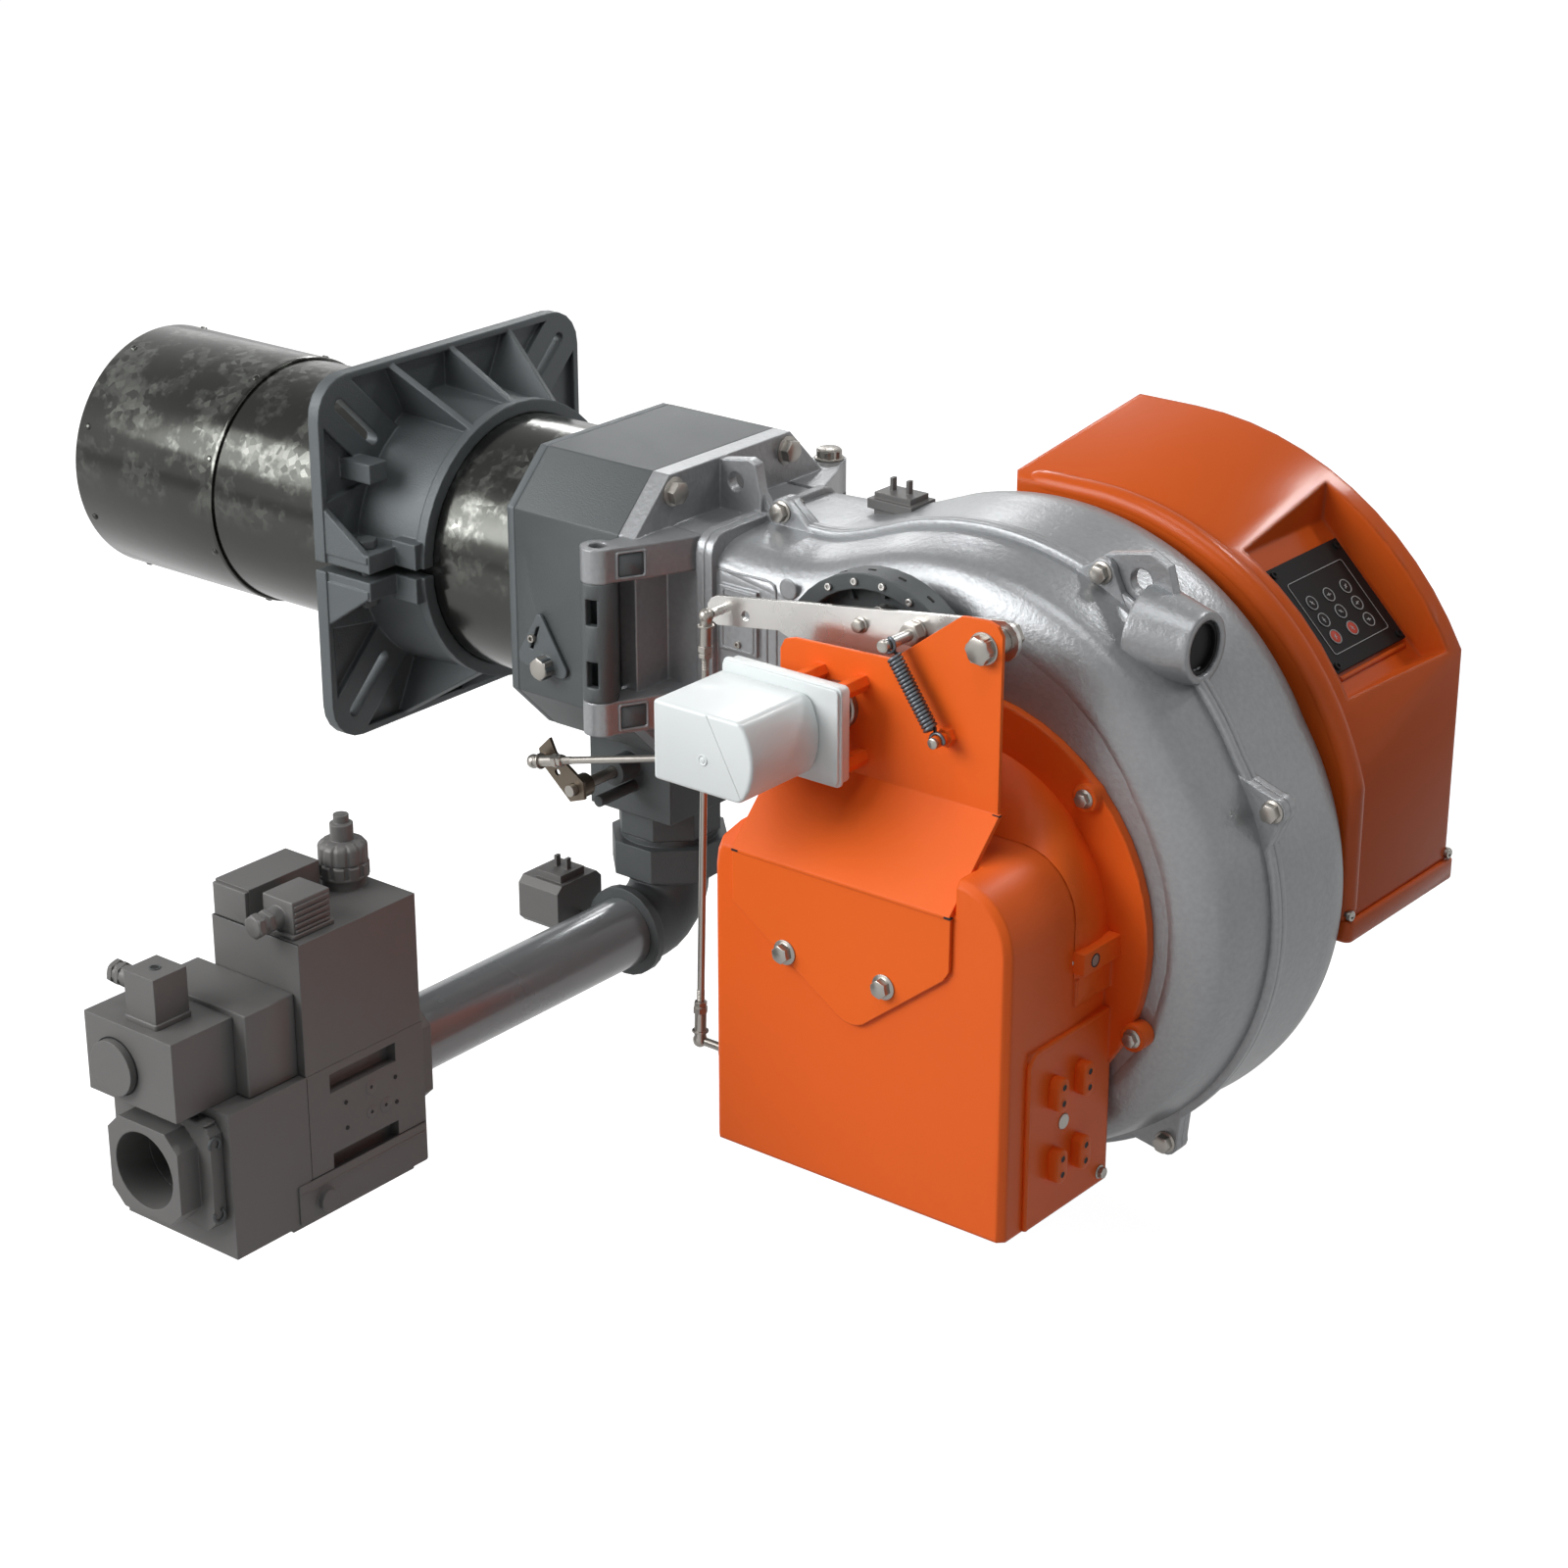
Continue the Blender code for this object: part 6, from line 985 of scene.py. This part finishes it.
class BURNER_OT_head(bpy.types.Operator):
    """Head casing fittings: pivot screw, locking screw, flange screws and hinge pin cap."""

    bl_idname = "burner.head"
    bl_label = "Head"

    def execute(self, context):
        plate = Sheet()
        plate.bolt((224.6, -122.4, -49.5), TO_SERVO, 17, 10.2, 0.0, 0.2)
        plate.build("adjust_hex_head", "zinc", "head_adjuster")
        screws = Sheet()
        screws.cap_screw((211.0, -122.0, -28.0), TO_SERVO, 3.4, 3.6)
        for y, z in ((-66, 104), (66, 104), (-104, 60), (104, 60), (-104, -60), (104, -60)):
            screws.cap_screw((182.9, y, z), TO_BOILER, 3.6, 3.4)
        screws.build("casing_screws", "zinc", "head")
        pin = Sheet()
        pin.bolt((HINGE_X, HINGE_Y, 78.4), UP, 19, 7.4, 12.5, 0.5)
        pin.build("hinge_pin_cap", "zinc", "head")
        return {"FINISHED"}


class BURNER_OT_valve(bpy.types.Operator):
    """Gas valve fittings, turned or swept: plugs, seams, gland nuts, ribs, clamp hooks and a fluted cap."""

    bl_idname = "burner.valve"
    bl_label = "Valve"

    def execute(self, context):
        marks = Sheet()
        for y, z, radius in ((-423.3, -284.1, 6.2), (-423.8, -305.2, 5.4), (-408.7, -305.3, 6.2)):
            plug = [(0, -1), (radius, -1), (radius, 0.1), (radius - 0.5, 0.35), (0, 0.35)]
            marks.turn(plug, (VALVE_FACE, y, z), TO_FAN, 40)
        marks.slab(rounded(-435.5, -353.5, 68.5, 16.5, 2.0), "X", VALVE_FACE - 1, VALVE_FACE + 1.4, 0.5)
        marks.slab(rounded(-435.5, -344.0, 67.0, 0.5, 0.4), "X", VALVE_FACE + 1.0, VALVE_FACE + 1.9, 0.2)
        button = [(0, 0), (9.0, 0), (9.0, 5.4), (8.2, 6.2), (0, 6.2)]
        marks.turn(button, (VALVE_FACE + 1, -477, -357), TO_FAN, 40)
        marks.slab(rounded(254, -574.5, 43.5, 5.4, 2.0), "Z", -258.5, -256.9, 0.5)
        marks.band((254, -574.5, -257.0), UP, 4.2, 5.2, 0, 0.5)
        marks.slab(rounded(238, -127.5, 17.5, 13.0, 0.6), "Y", -489.6, -485.0, 0.5)
        marks.build("valve_marks", "valve_dark", "head")
        # Black discs in the plug, screw and spindle holes are painted shade; the black lines and the thin
        # ring are the valve's dark seams.
        dots = Sheet()
        for y, z, radius in (
            (-450.4, -286.4, 1.8), (-397.5, -286.0, 1.8), (-397.0, -307.6, 1.8), (-450.1, -308.1, 1.8),
            (-423.3, -284.1, 1.5), (-423.8, -305.2, 1.5), (-408.7, -305.3, 1.5),
        ):
            dots.disc((VALVE_FACE, y, z), TO_FAN, radius, -0.5, 0.45, 20)
        for axis, low, high, (u0, v0), (u1, v1) in (
            ("X", VALVE_FACE - 0.5, VALVE_FACE + 0.12, (-489.3, -369), (-488.7, -251)),
            ("X", VALVE_FACE - 0.5, VALVE_FACE + 0.12, (-491, -336.8), (-367, -336.2)),
            ("Y", -490.1, -489.4, (220, -141.3), (310, -140.7)),
        ):
            dots.slab([(u0, v0), (u1, v0), (u1, v1), (u0, v1)], axis, low, high, 0.05)
        for x, radius in ((227.2, 1.6), (282.1, 1.6), (254, 1.4)):
            dots.disc((x, -574.5, -256.9), UP, radius, 0, 0.3, 18)
        dots.disc((248, -574, -145.9), UP, 3.0, 0, 0.3, 24)
        dots.band((228, -600.2, -222), TO_SERVO, 22.2, 23.2, 0, 0.4, 64)
        dots.build("valve_hole_shade_and_seams", "shade_and_seam_black", "head")
        screws = Sheet()
        for x in (214, 286):
            for z in (-333, -267):
                screws.cap_screw((x, -365.8, z), TO_SERVO, 4.6, 5.0)
        screws.band((248, -574, -146.0), UP, 3.2, 4.4, 0, 0.6, 24)
        for z in (-272.0, -331.0):
            way = 1 if z > -300 else -1
            hook = np.radians(np.linspace(-60, 210, 20))
            path = [(302.6, -576.5 + 5.0 * math.cos(a), z + way * 5.0 * math.sin(a)) for a in hook]
            screws.run(path, 1.5, 10)
        screws.build("valve_screws", "cast_dark", "head")
        glands = Sheet()
        glands.bolt((284, -494, -127), TO_SERVO, 17, 5, 0.0, 0.2)
        neck = [(0, 5), (7.6, 5), (7.6, 8), (7.0, 8.6), (7.0, 9.4), (0, 9.4)]
        glands.turn(neck, (284, -494, -127), TO_SERVO, 32)
        glands.bolt((284, -503.4, -127), TO_SERVO, 17, 6, 0.0, 0.2)
        glands.bolt((218, -576, -160), TO_BOILER, 17, 4, 0.0, 0.2)
        glands.disc((218, -576, -160), TO_BOILER, 7.6, 4, 7)
        glands.bolt((211, -576, -160), TO_BOILER, 17, 5, 0.0, 0.2)
        for k in range(5):
            glands.slab(rounded(-465, -116.5 - 4.8 * k, 17.5, 1.2, 0.7), "X", 299.5, 301.4, 0.4)
        glands.slab(rounded(284, -465, 18.0, 21.5, 2.5), "Z", -141.5, -137.5, 0.8)
        glands.slab(rounded(248, -574, 17.6, 17.6, 2.5), "Z", -186.5, -181.5, 0.8)
        glands.build("valve_glands", "valve_dark", "head")
        cap = Sheet()
        angle = round_angles(240)
        flute = (0.5 + 0.5 * np.cos(11 * angle)) ** 5
        rows = []
        for z, radius, depth in (
            (-121.0, 18.4, 0.0), (-120.6, 19.2, 1.0), (-109.5, 19.2, 1.0), (-108.3, 18.8, 1.0),
            (-106.4, 17.2, 1.6), (-104.6, 14.0, 0.6),
        ):
            reach = radius - 1.3 * depth * flute
            x, y = 255 + reach * np.cos(angle), -388 + reach * np.sin(angle)
            rows.append(np.column_stack([x, y, np.full(240, z)]))
        cap.weave(rows, ends=((255, -388, -121.0), (255, -388, -104.0)))
        cap.disc((255, -388, -84.2), UP, 3.2, 0, 0.2, 24)
        cap.build("brake_flutes", "valve_dark", "brake_cap")
        return {"FINISHED"}


class BURNER_OT_stage(bpy.types.Operator):
    """White floor and background, soft lights and the camera that the photograph was solved for."""

    bl_idname = "burner.stage"
    bl_label = "Stage"

    def execute(self, context):
        settings = context.scene.burner_stage
        scene = context.scene
        mesh = bpy.data.meshes.new("floor")
        side = 12.0
        corners = [(side * x, side * y, settings.drop) for x, y in ((-1, -1), (1, -1), (1, 1), (-1, 1))]
        mesh.from_pydata(corners, [], [(0, 1, 2, 3)])
        floor = shown("floor", mesh)
        material = bpy.data.materials.new("floor")
        material.use_nodes = True
        tree = material.node_tree
        plain = tree.nodes["Principled BSDF"]
        plain.inputs["Base Color"].default_value = (0.42, 0.42, 0.42, 1)
        plain.inputs["Roughness"].default_value = 0.9
        plain.inputs["Specular IOR Level"].default_value = 0.0
        plain.inputs["Emission Color"].default_value = (1, 1, 1, 1)
        glow = maths(tree, "MULTIPLY", directly_seen(tree, settings.sheen), settings.glow)
        tree.links.new(glow, plain.inputs["Emission Strength"])
        mesh.materials.append(material)
        world = bpy.data.worlds.new("studio")
        world.use_nodes = True
        scene.world = world
        tree = world.node_tree
        tree.nodes.clear()
        out = tree.nodes.new("ShaderNodeOutputWorld")
        where = tree.nodes.new("ShaderNodeTexCoord").outputs["Generated"]
        height = node(tree, "ShaderNodeSeparateXYZ", Vector=where)
        fade = ranged(tree, height.outputs["Z"], 0.05, 0.90)
        wall = mixed(tree, fade, (1, 1, 1, 1), (0.34, 0.34, 0.34, 1))
        seen = node(tree, "ShaderNodeBackground", Color=wall, Strength=1.0)
        light = node(tree, "ShaderNodeBackground", Color=(0.98, 0.99, 1, 1), Strength=settings.sky)
        mix = tree.nodes.new("ShaderNodeMixShader")
        tree.links.new(directly_seen(tree), mix.inputs[0])
        tree.links.new(light.outputs[0], mix.inputs[1])
        tree.links.new(seen.outputs[0], mix.inputs[2])
        tree.links.new(mix.outputs[0], out.inputs["Surface"])
        for name, place, target, power, size in (
            ("key", (-1.0, -2.6, 1.5), (0.4, -0.1, -0.1), settings.key, 2.0),
            ("top", (0.7, -0.7, 2.4), (0.5, 0, 0), settings.fill, 1.2),
            ("side", (-1.6, -1.45, 0.95), (-0.1, 0.0, 0.0), settings.fill * 0.5, 0.9),
            ("rim", (-1.31, 1.52, 0.85), (0.1, 0.0, 0.0), settings.fill * 0.2, 0.35),
            ("streak", (1.02, 1.385, 1.896), (0.73, 0.146, 0.10), settings.fill * 0.85, 0.30),
            ("glint", (-0.76, 1.547, 1.165), (0.574, 0.137, 0.131), settings.fill * 0.25, 0.25),
        ):
            data = bpy.data.lights.new(name, "AREA")
            data.energy = power
            data.size = size
            lamp = shown(name, data)
            way = np.asarray(target) - np.asarray(place)
            lamp.location = place
            lamp.rotation_euler = (
                math.atan2(math.hypot(way[0], way[1]), -way[2]),
                0.0,
                math.atan2(way[1], way[0]) - math.pi / 2,
            )
        data = bpy.data.cameras.new("camera")
        data.sensor_width = SENSOR
        data.lens = FOCAL_PIXELS * SENSOR / PHOTO_WIDTH
        camera = shown("camera", data)
        camera.location = CAMERA_PLACE
        camera.rotation_euler = (math.radians(CAMERA_TILT), 0.0, math.radians(CAMERA_TURN))
        scene.camera = camera
        scene.view_settings.view_transform = "Standard"
        return {"FINISHED"}


class BURNER_PT_panel(bpy.types.Panel):
    """The burner's settings and steps."""

    bl_label = "Gas burner"
    bl_idname = "BURNER_PT_panel"
    bl_space_type = "VIEW_3D"
    bl_region_type = "UI"
    bl_category = "Burner"

    def draw(self, context):
        layout = self.layout
        scene = context.scene
        for group in (scene.burner_tube, scene.burner_scroll, scene.burner_spring, scene.burner_stage):
            for key in group.bl_rna.properties.keys():
                if key not in ("rna_type", "name"):
                    layout.prop(group, key)
        for step in STEPS:
            layout.operator("burner." + step)


STEPS = ["materials", "solids", "tube", "scroll", "duct", "scroll_bolts", "spring", "panel", "hood"]
STEPS += ["linkage", "box", "head", "valve", "stage"]
GROUPS = (
    ("burner_tube", TubeSettings),
    ("burner_scroll", ScrollSettings),
    ("burner_spring", SpringSettings),
    ("burner_stage", StageSettings),
)
CLASSES = tuple(group for _, group in GROUPS) + (
    BURNER_OT_materials,
    BURNER_OT_solids,
    BURNER_OT_tube,
    BURNER_OT_scroll,
    BURNER_OT_duct,
    BURNER_OT_scroll_bolts,
    BURNER_OT_spring,
    BURNER_OT_panel,
    BURNER_OT_hood,
    BURNER_OT_linkage,
    BURNER_OT_box,
    BURNER_OT_head,
    BURNER_OT_valve,
    BURNER_OT_stage,
    BURNER_PT_panel,
)


def register():
    for item in CLASSES:
        bpy.utils.register_class(item)
    for name, group in GROUPS:
        setattr(bpy.types.Scene, name, PointerProperty(type=group))


def unregister():
    for name, _ in GROUPS:
        delattr(bpy.types.Scene, name)
    for item in reversed(CLASSES):
        bpy.utils.unregister_class(item)


def main():
    register()
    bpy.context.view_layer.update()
    for step in STEPS:
        getattr(bpy.ops.burner, step)()


if __name__ == "__main__":
    main()
